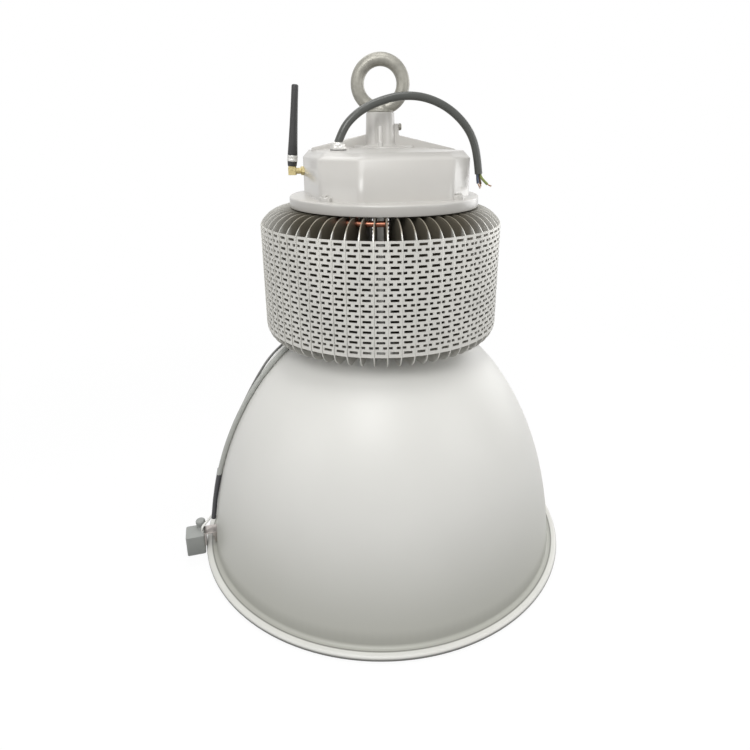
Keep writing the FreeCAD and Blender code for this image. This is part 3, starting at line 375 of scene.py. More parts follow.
class Finish(Graph):
    """A material round one Principled shader."""

    def __init__(self, name, base, roughness=0.5, metallic=0.0, coat=0.0, coat_roughness=0.1):
        self.material = bpy.data.materials.new(name)
        self.material.use_nodes = True
        super().__init__(self.material.node_tree)
        self.tree.nodes.clear()
        self.surface = self.tree.nodes.new("ShaderNodeBsdfPrincipled")
        self.output = self.tree.nodes.new("ShaderNodeOutputMaterial")
        self.tree.links.new(self.surface.outputs["BSDF"], self.output.inputs["Surface"])
        self.set(**{"Base Color": (*base, 1), "Roughness": roughness, "Metallic": metallic,
                    "Coat Weight": coat, "Coat Roughness": coat_roughness})
        self.base = base

    def set(self, **values):
        """Feed sockets of the shader by name; gives the finished material back."""
        for name, value in values.items():
            self.feed(self.surface.inputs[name], value)
        return self.material

    def spot(self):
        """Object coordinates, which are the frame's own."""
        return self.node("ShaderNodeTexCoord", output="Object")

    def place(self, scale=(1, 1, 1)):
        """Object coordinates, stretched for a pattern that runs one way."""
        return self.node("ShaderNodeMapping", {}, {"Vector": self.spot(), "Scale": scale})

    def noise(self, size, detail=3.0, stretch=(1, 1, 1), rough=0.5):
        """Noise from 0 to 1 whose blotches are about so many millimetres wide."""
        return self.node("ShaderNodeTexNoise", {}, {
            "Vector": self.place(stretch), "Scale": 1 / (size * MM), "Detail": detail,
            "Roughness": rough}, "Fac")

    def radius(self):
        """Distance from the upright axis of the light."""
        flat = {0: self.spot(), 1: (1, 1, 0)}
        return self.distance(self.node("ShaderNodeVectorMath", {"operation": "MULTIPLY"}, flat))

    def distance(self, spot):
        """Distance of a point from the origin."""
        return self.node("ShaderNodeVectorMath", {"operation": "LENGTH"}, {0: spot}, "Value")

    def axis(self, letter):
        """One coordinate: X to the right of the middle or Z above the floor."""
        return self.node("ShaderNodeSeparateXYZ", {}, {0: self.spot()}, letter)

    def band(self, wire, low, high):
        """0 below low, 1 above high and smooth between; radii and heights are in metres."""
        return self.node("ShaderNodeMapRange", {"interpolation_type": "SMOOTHSTEP"}, {
            "Value": wire, "From Min": low, "From Max": high})

    def blend(self, factor, first, second):
        """Colour between two colours."""
        mix = self.tree.nodes.new("ShaderNodeMix")
        mix.data_type = "RGBA"
        self.feed(mix.inputs[0], factor)
        for socket, value in ((mix.inputs[6], first), (mix.inputs[7], second)):
            self.feed(socket, value if isinstance(value, Wire) else (*value, 1))
        return Wire(self, mix.outputs[2])

    def bump(self, height, depth, strength=1.0, over=None):
        """Surface relief of so many millimetres, over an optional first relief."""
        inputs = {"Height": height, "Distance": depth * MM, "Strength": strength}
        if over:
            inputs["Normal"] = over
        return self.node("ShaderNodeBump", {}, inputs, "Normal")

    def soft_edges(self, radius):
        """Normal that rounds edges and the creases where shells meet."""
        return self.node("ShaderNodeBevel", {"samples": 6}, {"Radius": radius * MM}, "Normal")


def shade(base, factor):
    return tuple(min(1.0, channel * factor) for channel in base)


# ---------------- finishes

# Painted shade on the reflector: the enamel darker low on the dome, in the crease before the rim
# and under the rim; the shelf is darkened as well
PAINTED_LOW_SHADE = (0.55, 0.55, 0.495)
SHADE_AND_SHELF_DARK = (0.1, 0.1, 0.09)
LOW_SHADE_FADE = (-0.005, 0.13)
SHELF_START = (0.197, 0.1985)
CREASE_START = (0.2022, 0.203)
CREASE_END = (0.2035, 0.2048)
RIM_START = (0.2035, 0.2045)
RIM_UNDERSIDE = (0.003, 0.005)
# Painted shade between the fins: its brownish tint, and where it lies by radius, height and X
INNER_SHADE_TINT = (0.34, 0.31, 0.255)
INNER_SHADE_RADIUS = (0.1165, 0.1215)
INNER_SHADE_HEIGHT = (0.256, 0.266)
INNER_SHADE_WIDTH = (0.07, 0.11)


def powder_coat(name, base, roughness, soft=1.2):
    """Glossy powder coat on a casting: fine orange peel and faint grime."""
    finish = Finish(name, base, roughness, coat=0.2, coat_roughness=0.2)
    cloud = finish.noise(45, detail=4)
    peel = finish.noise(1.1, detail=2)
    return finish.set(**{
        "Base Color": finish.blend(finish.band(cloud, 0.35, 0.75), shade(base, 0.965), base),
        "Roughness": roughness - 0.05 + 0.12 * cloud,
        "Normal": finish.bump(peel, 0.05, 0.22, finish.soft_edges(soft)),
    })


def spun_enamel(name, base, roughness):
    """Satin enamel over spun aluminium: level tool rings that barely show, with painted shade low
    on the dome and round the rim; the shelf is darkened too.
    """
    finish = Finish(name, base, roughness)
    rings = finish.noise(3.2, detail=2, stretch=(0.02, 0.02, 1))
    cloud = finish.noise(70)
    peel = finish.noise(0.9, detail=2)
    relief = finish.bump(rings, 0.04, 0.16)
    enamel_tone = finish.blend(finish.band(cloud, 0.3, 0.75), shade(base, 0.975), base)
    radius, height = finish.radius(), finish.axis("Z")
    rim = finish.band(radius, *RIM_START)
    # painted shade: the enamel grows darker towards the bottom of the dome, while the rim itself is
    # mostly spared
    shaded_low = finish.blend(finish.band(height, *LOW_SHADE_FADE) + 0.8 * rim, PAINTED_LOW_SHADE, enamel_tone)
    # painted shade in the crease before the rim bead and under the rim; the shelf before the rim is
    # darkened as well
    crease = finish.band(radius, *CREASE_START) * (1 - finish.band(radius, *CREASE_END))
    under = 1 - finish.band(height, *RIM_UNDERSIDE)
    shelf = finish.band(radius, *SHELF_START) * (1 - rim)
    painted_shade_and_dark_shelf = 0.3 * shelf + 0.4 * crease + 0.9 * under * rim
    return finish.set(**{
        "Base Color": finish.blend(painted_shade_and_dark_shelf, shaded_low, SHADE_AND_SHELF_DARK),
        "Roughness": roughness - 0.04 + 0.1 * cloud,
        "Normal": finish.bump(peel, 0.03, 0.18, relief),
    })


def rolled_sheet(name, base):
    """Mill-finish aluminium sheet with a fine upright grain, with painted shade and a painted
    brownish reflection deep between the fins near the middle across X.
    """
    finish = Finish(name, base, 0.4, metallic=0.5)
    grain = finish.noise(0.7, stretch=(1, 1, 0.06))
    cloud = finish.noise(26)
    bright = finish.blend(finish.band(cloud, 0.3, 0.75), shade(base, 0.93), base)
    # painted shade with a painted brownish reflection: the fins are darker and browner deep inside,
    # above the band's foot and near the middle across X
    dull = tuple(channel * tint for channel, tint in zip(base, INNER_SHADE_TINT))
    inner = 1 - finish.band(finish.radius(), *INNER_SHADE_RADIUS)
    upper = finish.band(finish.axis("Z"), *INNER_SHADE_HEIGHT)
    middle = 1 - finish.band(abs(finish.axis("X")), *INNER_SHADE_WIDTH)
    return finish.set(**{
        "Base Color": finish.blend(inner * upper * middle, bright, dull),
        "Roughness": 0.32 + 0.16 * cloud + 0.06 * grain,
        "Normal": finish.bump(grain, 0.03, 0.25),
    })


def cast_metal(name, base, roughness, metallic):
    """Plain metal with a mottled, slightly uneven skin."""
    finish = Finish(name, base, roughness, metallic)
    mottle = finish.noise(4.8, detail=4)
    grain = finish.noise(0.8)
    patches = finish.band(mottle, 0.3, 0.7)
    return finish.set(**{
        "Base Color": finish.blend(patches, shade(base, 0.86), shade(base, 1.06)),
        "Roughness": roughness - 0.08 + 0.16 * mottle,
        "Normal": finish.bump(grain, 0.08, 0.3, finish.soft_edges(1.0)),
    })


def bright_metal(name, base, roughness, metallic=1.0):
    """Plated or drawn metal with hairline marks."""
    finish = Finish(name, base, roughness, metallic)
    lines = finish.noise(1.0, detail=4, rough=0.6)
    return finish.set(**{
        "Base Color": finish.blend(lines, shade(base, 0.9), base),
        "Roughness": roughness - 0.05 + 0.14 * lines,
        "Normal": finish.bump(lines, 0.02, 0.2, finish.soft_edges(0.3)),
    })


def drawn_copper(name, base):
    """Copper tube with patches of tarnish."""
    finish = Finish(name, base, metallic=0.9)
    tarnish = finish.noise(9, detail=4)
    return finish.set(**{
        "Base Color": finish.blend(tarnish, shade(base, 0.72), shade(base, 1.15)),
        "Roughness": 0.24 + 0.2 * tarnish,
    })


def moulded_plastic(name, base, roughness=0.45, grain_size=0.6):
    """Moulded plastic or rubber with a fine sparked grain."""
    finish = Finish(name, base, roughness)
    grain = finish.noise(grain_size, detail=2)
    cloud = finish.noise(14)
    return finish.set(**{
        "Base Color": finish.blend(cloud, shade(base, 0.9), shade(base, 1.08)),
        "Roughness": roughness - 0.06 + 0.12 * cloud,
        "Normal": finish.bump(grain, 0.04, 0.3),
    })


def circuit_board(name, base):
    """Solder mask with faint traces."""
    finish = Finish(name, base, 0.35)
    traces = finish.node("ShaderNodeTexBrick", {}, {
        "Vector": finish.place(), "Scale": 260.0, "Mortar Size": 0.06}, "Fac")
    return finish.set(**{"Base Color": finish.blend(traces, base, shade(base, 1.7))})


def lens_glass(name):
    """Clear tempered glass with a light green cast."""
    finish = Finish(name, (0.9, 0.97, 0.94), 0.03)
    finish.surface.inputs["Transmission Weight"].default_value = 1.0
    finish.surface.inputs["IOR"].default_value = 1.5
    smear = finish.noise(30)
    return finish.set(**{"Roughness": 0.02 + 0.05 * smear})


def phosphor(name):
    """LED package: yellow phosphor in a white body."""
    finish = Finish(name, (0.85, 0.66, 0.12), 0.35)
    dots = finish.noise(2.5, detail=1)
    return finish.set(**{"Base Color": finish.blend(dots, (0.9, 0.75, 0.2), (0.8, 0.6, 0.1))})


def dress(node, material):
    """Give a CAD node its material."""
    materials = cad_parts[node].data.materials
    materials.clear()
    materials.append(material)


# ---------------- reflector

def reflector_outline(settings):
    """Closed profile of the spun sheet: dome outside, rolled rim, dome inside."""
    rim, wall, bead = settings.mouth_radius / MM, settings.wall / MM, 3.0
    neck = NECK_HEIGHT / MM
    opening, shoulder, flare = 66, (83.98, neck), 3
    mouth = (198.3, 9.0)
    bends = [((146.6, 180.0), 224.0, 32.13), ((183.75, 95.0), 329.0, 15.91), (mouth, 404.0, 3.5)]
    outline = Outline(opening, neck).line((80.5, neck)).arc(*shoulder, 12, -1, 3)
    for corner, radius, _ in bends:
        outline.arc(*corner, radius, -1, 16)
    outline.arc(mouth[0] + flare, 2 * bead, flare, 1, 4).line((rim - bead, 2 * bead))
    for corner in ((rim, bead), (rim - bead, 0), (rim - 2 * bead, bead)):
        outline.arc(*corner, bead, -1, 5)
    outline.line((rim - 2 * bead, 2 * bead - wall), (mouth[0] + flare, 2 * bead - wall))
    outline.arc(mouth[0] - wall, mouth[1], flare + wall, -1, 4)
    inside = [inset(shoulder, 55.75, wall)]
    inside += [inset(corner, angle, wall) for corner, _, angle in bends]
    for corner, (_, radius, _) in zip(inside[-2::-1], bends[::-1]):
        outline.arc(*corner, radius - wall, 1, 16)
    return outline.line((opening, inside[0][1]))


def inset(corner, angle, distance):
    """Point at a distance inside the dome, along its normal at that angle above level."""
    angle = math.radians(angle)
    return corner[0] - distance * math.cos(angle), corner[1] - distance * math.sin(angle)


class LIGHT_OT_reflector(bpy.types.Operator):
    """Spins the reflector from its profile"""
    bl_idname = "light.reflector"
    bl_label = "Reflector"

    def execute(self, context):
        settings = context.scene.bay_light.reflector
        piece = Piece("reflector_shell")
        with piece.shell(crease=40) as part:
            spin_profile(part, reflector_outline(settings), settings.steps, closed=True)
        enamel = spun_enamel("Satin enamel", settings.enamel, settings.roughness)
        piece.done(enamel, replaces=["reflector"], slot="reflector_white")
        dress("reflector_screws", bright_metal("Zinc screw", (0.55, 0.54, 0.50), 0.32))
        return {"FINISHED"}


# ---------------- heat sink

SLOT_ROWS = 11
SLOT_HEIGHT = 2.45
SLOT_REACH = 3.9
BRIDGE_REACH = 1.8
FOLD_GAP = 0.75
FOLD_TUCK = 0.6
ROW_PITCH = 9.82
TOP_ROW = 364.5
BAND = (261.7, 367.9)
WEB_INSIDE = 68
WEB_OUTSIDE = 123.2
WEB_TOP = 383
NOTCH = ((79, WEB_TOP), (79, 373.8), (91.4, 373.8), (91.4, WEB_TOP))
PIPE_COLUMNS = (-5, 16, 36)
PIPE_FINS = 6


def fin_web(part, notched, sheet):
    """Upright sheet of one fin, with rounded outer corners and a notch where a pipe passes."""
    web = Outline(WEB_INSIDE, WEB_TOP).line(*(NOTCH if notched else ()), (98, WEB_TOP))
    web.arc(WEB_OUTSIDE, 368, 28.7, -1, 7).line((WEB_OUTSIDE, 262)).arc(107, 248, 16.4, -1, 6)
    extrude_outline(part, web.line((81, 248), (81, 253), (WEB_INSIDE, 253)), sheet)


def slotted_flange(part, width, sheet):
    """Perforated strip in the YZ plane: whole slots in every other row and half slots between."""
    low, high = BAND
    near, far = FOLD_GAP - width / 2, width / 2
    corners = ((near, low), (far, low), (far, high), (near, high))
    part.faces.new([part.verts.new((0, y, z)) for y, z in corners])
    rows = [TOP_ROW - ROW_PITCH / 2 * row for row in range(2 * SLOT_ROWS - 1)]
    ends = (near + 0.35, far - 0.75)
    for y in (ends[0], -SLOT_REACH, -BRIDGE_REACH, BRIDGE_REACH, SLOT_REACH, ends[1]):
        bisect(part, (0, y, 0), (0, 1, 0))
    for z in rows:
        bisect(part, (0, 0, z - SLOT_HEIGHT / 2), (0, 0, 1))
        bisect(part, (0, 0, z + SLOT_HEIGHT / 2), (0, 0, 1))
    holes = [face for face in part.faces if in_slot(face.calc_center_median(), rows, ends)]
    bmesh.ops.delete(part, geom=holes, context="FACES")
    thicken(part, list(part.faces), (-sheet, 0, 0))


def bisect(part, point, normal, clear_outer=False):
    """Cut all faces along a plane, and take away what lies beyond it if asked."""
    geometry = part.verts[:] + part.edges[:] + part.faces[:]
    bmesh.ops.bisect_plane(part, geom=geometry, plane_co=point, plane_no=normal, dist=1e-4,
                           clear_outer=clear_outer)


def in_slot(centre, rows, ends):
    """Whether a spot lies in a whole slot, or in one that runs on in the next fin."""
    for number, z in enumerate(rows):
        if abs(centre.z - z) < SLOT_HEIGHT / 2:
            if number % 2 == 0:
                return abs(centre.y) < SLOT_REACH
            return ends[0] < centre.y < ends[1] and abs(centre.y) > BRIDGE_REACH
    return False


def fin_mesh(name, notched, radius, sheet, pitch):
    """One folded fin at azimuth 90: its web along X, its flange closing the column before it."""
    half = math.radians(pitch / 2)
    width = 2 * radius * math.sin(half)
    piece = Piece(name)
    with piece.shell() as part:
        fin_web(part, notched, sheet)
    tuck = Matrix.Rotation(-math.asin(FOLD_TUCK / width), 4, "Z")
    with piece.shell(place=turned(-pitch / 2) @ at(radius * math.cos(half), 0, 0) @ tuck) as part:
        slotted_flange(part, width, sheet)
    return piece.mesh()


class LIGHT_OT_heat_sink(bpy.types.Operator):
    """Builds the ring of perforated fins and gives the heat pipes their copper finish"""
    bl_idname = "light.heat_sink"
    bl_label = "Heat sink"

    def execute(self, context):
        settings = context.scene.bay_light.heat_sink
        radius, sheet, count = settings.radius / MM, settings.sheet / MM, settings.fins
        pitch = 360 / count
        plain = fin_mesh("plain_fin", False, radius, sheet, pitch)
        notched = fin_mesh("notched_fin", True, radius, sheet, pitch)
        notches = {(column + k) % count for column in PIPE_COLUMNS for k in range(PIPE_FINS)}
        aluminium = rolled_sheet("Rolled aluminium", settings.aluminium)
        for side, label in enumerate(("front", "right", "back", "left")):
            piece = Piece(f"perforated_fins_{label}")
            first = -count // 8 + round(side * count / 4)
            last = -count // 8 + round((side + 1) * count / 4)
            for k in range(first, last):
                start = len(piece.gathered.verts)
                piece.gathered.from_mesh(notched if k % count in notches else plain)
                piece.gathered.verts.ensure_lookup_table()
                bmesh.ops.rotate(piece.gathered, verts=piece.gathered.verts[start:],
                                 matrix=turned((k + 0.5) * pitch - 90, size=3))
            piece.done(aluminium, replaces=[f"fins_{label}"], slot="fin_aluminium")
        dress("heat_spreader", bright_metal("Turned aluminium", (0.36, 0.36, 0.34), 0.45))
        dress("support_posts", bright_metal("Zinc post", (0.50, 0.49, 0.46), 0.35))
        dress("heat_pipes", drawn_copper("Drawn copper", settings.copper))
        return {"FINISHED"}


# ---------------- driver housing

HOUSING_SHIFT = 3.5
BODY_CORNERS = (-14, 47, 76, 137, 166, 227, 256, 317)
WALL_TOP = 431
EAVE_TOP = 438
HUB_FOOT = 440
HUB_TOP = 441.8
STEM_TOP = 473.5
BOSS_END = 18.4
FLANGE_SCREWS = (-38, 52, 142, 232)
FLANGE_TOP = 394.5
SCREW_SEAT = 399
GLAND_SPOT = (-39, -48, 0)
GLAND_SEAT = 439.2
GLAND_FOOT = GLAND_SEAT + 3.8
GLAND_TOP = 446.6


def housing_wall(part, corner, edge):
    """Eight-sided wall with its chamfered eave and nearly level roof."""
    rings = ((88, 392), (88, WALL_TOP), (81, EAVE_TOP), (30, 440.5))
    verts = [part.verts.new(polar(azimuth, *rings[0])) for azimuth in BODY_CORNERS]
    part.faces.new(verts)
    bmesh.ops.bevel(part, geom=verts, offset=corner, offset_type="OFFSET", segments=4,
                    profile=0.5, affect="VERTICES", material=-1)
    face = max(part.faces, key=lambda f: f.calc_area())
    for (radius, z), (wider, lower) in zip(rings[1:], rings):
        lifted = bmesh.ops.extrude_face_region(part, geom=[face])["geom"]
        face = [g for g in lifted if isinstance(g, bmesh.types.BMFace)][0]
        bmesh.ops.scale(part, vec=(radius / wider, radius / wider, 1), verts=face.verts)
        bmesh.ops.translate(part, vec=(0, 0, z - lower), verts=face.verts)
    round_edges(part, edge, 3, 15, lambda e: lies_level(e, (WALL_TOP, EAVE_TOP)))


def lies_level(edge, heights):
    """Whether an edge lies level at one of the heights."""
    return any(all(abs(v.co.z - z) < 0.01 for v in edge.verts) for z in heights)


def flange_outline():
    """Flange that overlaps the gasket, with its skirt and rounded edge."""
    outline = Outline(60, 389).line((92.5, 389), (92.5, 384.6)).arc(93.1, 384, 0.6, 1, 2)
    outline.line((95.9, 384)).arc(96.5, 384.6, 0.6, 1, 2).line((96.5, FLANGE_TOP - 2))
    return outline.arc(94.5, FLANGE_TOP, 2, 1, 6).line((60, FLANGE_TOP))


def stem_outline():
    """Tapering stem with the fillet at its foot."""
    outline = Outline(0, HUB_FOOT).line((17.6, HUB_FOOT), (17.6, HUB_TOP))
    outline.arc(14.8, 444.6, 2.8, -1, 6)
    return outline.line((13.9, STEM_TOP - 0.6)).arc(13.3, STEM_TOP, 0.6, 1, 3).line((0, STEM_TOP))


def rib_outline(side, foot, end):
    """Gusset from the stem down to the eave; the right one carries the lock screw's boss."""
    outline = Outline(0, 436).line((side * foot, 436), (side * foot, end), (side * BOSS_END, 452.2))
    if side > 0:
        return outline.line((BOSS_END, 463), (0, 463))
    return outline.line((-14.5, 453.2), (0, 453.2))


class LIGHT_OT_housing(bpy.types.Operator):
    """Models the cast driver housing and its screws"""
    bl_idname = "light.housing"
    bl_label = "Driver housing"

    def execute(self, context):
        settings = context.scene.bay_light.housing
        aside = at(HOUSING_SHIFT, 0, 0)
        piece = Piece("housing_casting")
        with piece.shell(place=aside) as part:
            housing_wall(part, settings.corner / MM, settings.edge / MM)
        piece.spin(flange_outline(), 128, True, aside)
        hub = Outline(0, 436).line((30, 436), (30, 441.1)).arc(29.3, HUB_TOP, 0.7, 1, 3)
        piece.spin(hub.line((0, HUB_TOP)), 72, place=aside)
        piece.spin(stem_outline(), 64)
        self.ribs(piece)
        for azimuth in FLANGE_SCREWS:
            with piece.shell(place=aside @ at(*polar(azimuth, 87.5))) as part:
                prism(part, 32, 6, 391, SCREW_SEAT)
                round_edges(part, 1.0)
        with piece.shell(place=at(*GLAND_SPOT)) as part:
            prism(part, 40, 9, 433, GLAND_SEAT)
            round_edges(part, 0.8)
        paint = powder_coat("Grey powder coat", settings.paint, settings.roughness)
        piece.done(paint, replaces=["driver_housing"], slot="housing_paint")
        self.screws()
        dress("housing_base", bright_metal("Base plate", (0.55, 0.55, 0.53), 0.4))
        dress("housing_gasket", moulded_plastic("Gasket rubber", (0.03, 0.03, 0.03), 0.6))
        return {"FINISHED"}

    def ribs(self, piece):
        """Two long gussets across the roof and two short ones before and behind the stem."""
        for side, foot, end in ((1, 75.5, 438.9), (-1, 69.3, 440.4)):
            with piece.shell() as part:
                extrude_outline(part, rib_outline(side, foot, end), 6)
                round_edges(part, 1.0)
        for side in (1, -1):
            with piece.shell(place=turned(90 * side)) as part:
                rib = Outline(0, HUB_FOOT).line((24, HUB_FOOT), (24, HUB_TOP), (16.9, 445.8))
                extrude_outline(part, rib.line((15.5, 461), (0, 461)), 4.5)
                round_edges(part, 0.8)

    def screws(self):
        """Round-headed screws on the flange's pads."""
        piece = Piece("flange_screw_heads")
        for azimuth in FLANGE_SCREWS:
            head = Outline(0, 385).line((1.5, 385), (1.5, SCREW_SEAT), (2.8, SCREW_SEAT))
            head.line((2.8, 399.9)).arc(1.9, 400.7, 1.0, 1, 4).line((0, 400.8))
            piece.spin(head, 24, place=at(HOUSING_SHIFT, 0, 0) @ at(*polar(azimuth, 89.5)))
        painted = powder_coat("Painted screw", (0.47, 0.46, 0.43), 0.45, 0.3)
        piece.done(painted, replaces=["flange_screws"], slot="plated_steel")


class LIGHT_OT_electronics(bpy.types.Operator):
    """Finishes the driver, radio board and terminals inside the housing"""
    bl_idname = "light.electronics"
    bl_label = "Electronics"

    def execute(self, context):
        dress("driver_module", bright_metal("Driver case", (0.6, 0.6, 0.6), 0.4))
        dress("control_board", circuit_board("Solder mask", (0.02, 0.12, 0.05)))
        dress("board_standoffs", bright_metal("Standoff brass", (0.6, 0.45, 0.2), 0.3))
        dress("terminal_block", moulded_plastic("Terminal plastic", (0.55, 0.55, 0.52)))
        return {"FINISHED"}


# ---------------- hanging hardware

RING_MAJOR = 22.3
SHANK_END = 423.5


class LIGHT_OT_eye_bolt(bpy.types.Operator):
    """Models the forged eye bolt and its lock screw"""
    bl_idname = "light.eye_bolt"
    bl_label = "Eye bolt"

    def execute(self, context):
        settings = context.scene.bay_light.hanging
        rod = settings.rod / MM
        inner, outer = RING_MAJOR - rod, RING_MAJOR + rod
        centre = RING_TOP / MM - outer
        piece = Piece("forged_eye_bolt")
        with piece.shell(place=at(0, 0, centre) @ turned(90, "X")) as part:
            ring = Outline(outer, 0).arc(inner, 0, rod, 1, 14).arc(outer, 0, rod, 1, 14)
            ring.points.pop()
            spin_profile(part, ring, 96, closed=True)
            bisect_below(part, centre, STEM_TOP + 0.1)
        collar = Outline(0, SHANK_END).line((5.4, SHANK_END), (6, SHANK_END + 0.6), (6, STEM_TOP))
        collar.line((12.4, STEM_TOP)).arc(12.9, 474, 0.5, 1, 2).line((12.9, 475))
        piece.spin(collar.arc(7, 482.5, 9, -1, 6).line((0, 482.5)), 64)
        steel = cast_metal("Galvanised steel", settings.steel, 0.42, 0.4)
        piece.done(steel, replaces=["eye_bolt"], slot="plated_steel")
        dress("eye_bolt_nut", steel)
        self.lock_screw()
        return {"FINISHED"}

    def lock_screw(self):
        """Short screw with a hollow head in the stem's boss."""
        piece = Piece("lock_screw_head")
        head = Outline(0, -12).line((2, -12), (2, 0), (3.4, 0), (3.4, 1.4))
        head.arc(2, 2.8, 1.7, 1, 5).line((1.1, 2.8), (0.8, 1.6), (0, 1.4))
        piece.spin(head, 28, place=at(BOSS_END, 0, 460) @ turned(90, "Y"))
        zinc = bright_metal("Lock screw", (0.26, 0.25, 0.22), 0.4)
        piece.done(zinc, replaces=["eye_lock_screw"], slot="plated_steel")


def bisect_below(part, centre, level):
    """Cut the ring off level where it enters the collar, in the ring's own unturned frame."""
    bisect(part, (0, level - centre, 0), (0, -1, 0), clear_outer=True)
    rim = [edge for edge in part.edges if len(edge.link_faces) == 1]
    bmesh.ops.holes_fill(part, edges=rim)


# ---------------- supply cable

CABLE_ROUTE = [
    (-39, -48, 446), (-34.6, -46.6, 457), (-27.4, -44, 466.5), (-16.9, -40, 475),
    (-2.3, -34.5, 482), (16.5, -29, 487.2), (37, -25, 487.5), (56.5, -22.5, 481.5),
    (73, -21, 471), (87, -20, 455.5), (94.6, -19.5, 436), (97.2, -19, 415.6),
]
CORE_TINTS = {
    "core_blue": (0.055, 0.075, 0.12),
    "core_green_yellow": (0.24, 0.29, 0.085),
    "core_brown": (0.13, 0.07, 0.04),
}
CORE_ROUTES = {
    "core_blue": ((-1.5, 0.8, 0), (-1.7, 1.2, 5), (-1.6, 1.5, 9), (0.6, 1.9, 14.5)),
    "core_green_yellow": ((1.5, 0.8, 0), (3.9, 1.4, 6.5), (7.6, 2.0, 11), (11.7, 2.4, 13.6)),
    "core_brown": ((0, -1.8, 0), (1.2, -3.2, 6), (1.8, -3.7, 10.5), (2, -3.9, 13.5)),
}
CORE_RADIUS = 1.3
CORE_EXIT = 2.5
STRANDS = 6
STRAND_SUNK = 0.4


class LIGHT_OT_supply_cable(bpy.types.Operator):
    """Lays the supply cable in its gland and strips its end"""
    bl_idname = "light.supply_cable"
    bl_label = "Supply cable"

    def execute(self, context):
        settings = context.scene.bay_light.cable
        sheath = moulded_plastic("Cable sheath", settings.sheath, 0.3, 1.4)
        diameter = settings.diameter
        cable = tube("supply_cable", CABLE_ROUTE, diameter / 2 / MM, sheath, ["power_cable"])
        cores = []
        for label, route in CORE_ROUTES.items():
            cores += self.core(label, *route)
        self.gland(settings)
        return {"FINISHED"}

    def core(self, label, seat, middle, stripped, tip):
        """One insulated core and the copper strands that stand out of it."""
        end, before = Vector(CABLE_ROUTE[-1]), Vector(CABLE_ROUTE[-2])
        heading = (end - before).normalized()
        right = heading.cross(Vector((0, 1, 0))).normalized()
        forward = heading.cross(right)

        def beyond(across, ahead, down):
            return end + right * across + forward * ahead + heading * down

        start = beyond(*seat)
        points = [start, start + heading * CORE_EXIT, beyond(*middle), beyond(*stripped)]
        plastic = moulded_plastic(f"{label} insulation", CORE_TINTS[label], 0.4)
        insulation = tube(f"{label}_insulation", points, CORE_RADIUS, plastic, [label], 6)
        bare = beyond(*tip) - points[-1]
        aim = bare.to_track_quat("Z", "Y").to_matrix().to_4x4()
        strands = Piece(f"{label}_strands")
        for k in range(STRANDS):
            lean = turned(360 / STRANDS * k) @ turned(5, "Y") @ at(0.3, 0, 0)
            with strands.shell(place=at(*points[-1]) @ aim @ lean) as part:
                prism(part, 8, 0.26, -STRAND_SUNK, bare.length - STRAND_SUNK, tip=0.2)
        copper = bright_metal(f"{label} copper", (0.45, 0.26, 0.14), 0.35)
        return [insulation, strands.done(copper, slot=label)]

    def gland(self, settings):
        """Nickel-plated gland: hexagon under a domed cap nut, on a black sealing ring."""
        stand = at(*GLAND_SPOT)
        nickel = bright_metal("Nickel plate", settings.nickel, 0.3, 0.55)
        body = Piece("gland_hexagon")
        with body.shell(place=stand) as part:
            prism(part, 6, 7.62, GLAND_SEAT, GLAND_FOOT, 30)
            round_edges(part, 0.8)
        body.done(nickel, replaces=["cable_gland_body"], slot="plated_steel")
        seal, seal_top = Piece("gland_seal"), GLAND_SEAT + 0.8
        ring = Outline(6, GLAND_SEAT).line((7.2, GLAND_SEAT)).arc(7.2, seal_top, 0.4, 1, 6)
        seal.spin(ring.line((6, seal_top)), 48, True, stand)
        seal.done(moulded_plastic("Seal rubber", (0.05, 0.05, 0.05), 0.5), slot="black_rubber")
        cap = Piece("gland_cap")
        dome = Outline(3.9, GLAND_FOOT - 1).line((6.6, GLAND_FOOT - 1), (6.6, GLAND_FOOT + 0.8))
        cap.spin(dome.arc(4.4, GLAND_TOP, 3.0, 1, 8).line((3.9, GLAND_TOP)), 48, True, stand)
        cap.done(nickel, replaces=["cable_gland_nut"], slot="plated_steel")
        dress("gland_lock_nut", nickel)


# ---------------- antenna

ANTENNA_FOOT = (-91.4, 11.1, 421.8)
ANTENNA_LEAN = 5.0


class LIGHT_OT_antenna(bpy.types.Operator):
    """Models the whip antenna on its brass elbow"""
    bl_idname = "light.antenna"
    bl_label = "Antenna"

    def execute(self, context):
        settings = context.scene.bay_light.antenna
        stand = at(*ANTENNA_FOOT) @ turned(ANTENNA_LEAN, "Y")
        rubber = moulded_plastic("Antenna rubber", settings.rubber, 0.5, 0.5)
        whip = Piece("whip")
        outline = Outline(0, 0).line((4.0, 0)).arc(4.6, 0.6, 0.6, 1, 3).line((5, 4.4), (4.6, 4.9))
        outline.line((4.6, 11), (4.85, 11)).arc(5.05, 11.3, 0.3, 1, 2).line((4.5, 26), (4.0, 42))
        outline.line((3.62, 59), (3.4, 77.2)).arc(1.6, 79, 1.8, 1, 5).line((0, 79))
        whip.spin(outline, 40, place=stand)
        whip.done(rubber, replaces=["antenna_whip"], slot="black_rubber")
        band = Piece("whip_band")
        ring = Outline(4.6, 4.9).line((5.1, 4.9)).arc(5.3, 5.1, 0.2, 1, 2)
        ring.line((5.3, 7.2), (5.15, 7.5), (5.15, 8.1), (5.3, 8.4), (5.3, 10.7))
        band.spin(ring.arc(5.1, 10.9, 0.2, 1, 2).line((4.6, 10.9)), 40, True, stand)
        white = bright_metal("Ring band", (0.72, 0.71, 0.68), 0.35, 0.4)
        band.done(white, replaces=["antenna_band"], slot="band_white")
        brass = bright_metal("Brass", settings.brass, 0.5, 0.35)
        dress("antenna_elbow", brass)
        dress("antenna_nut", brass)
        return {"FINISHED"}


# ---------------- LED unit

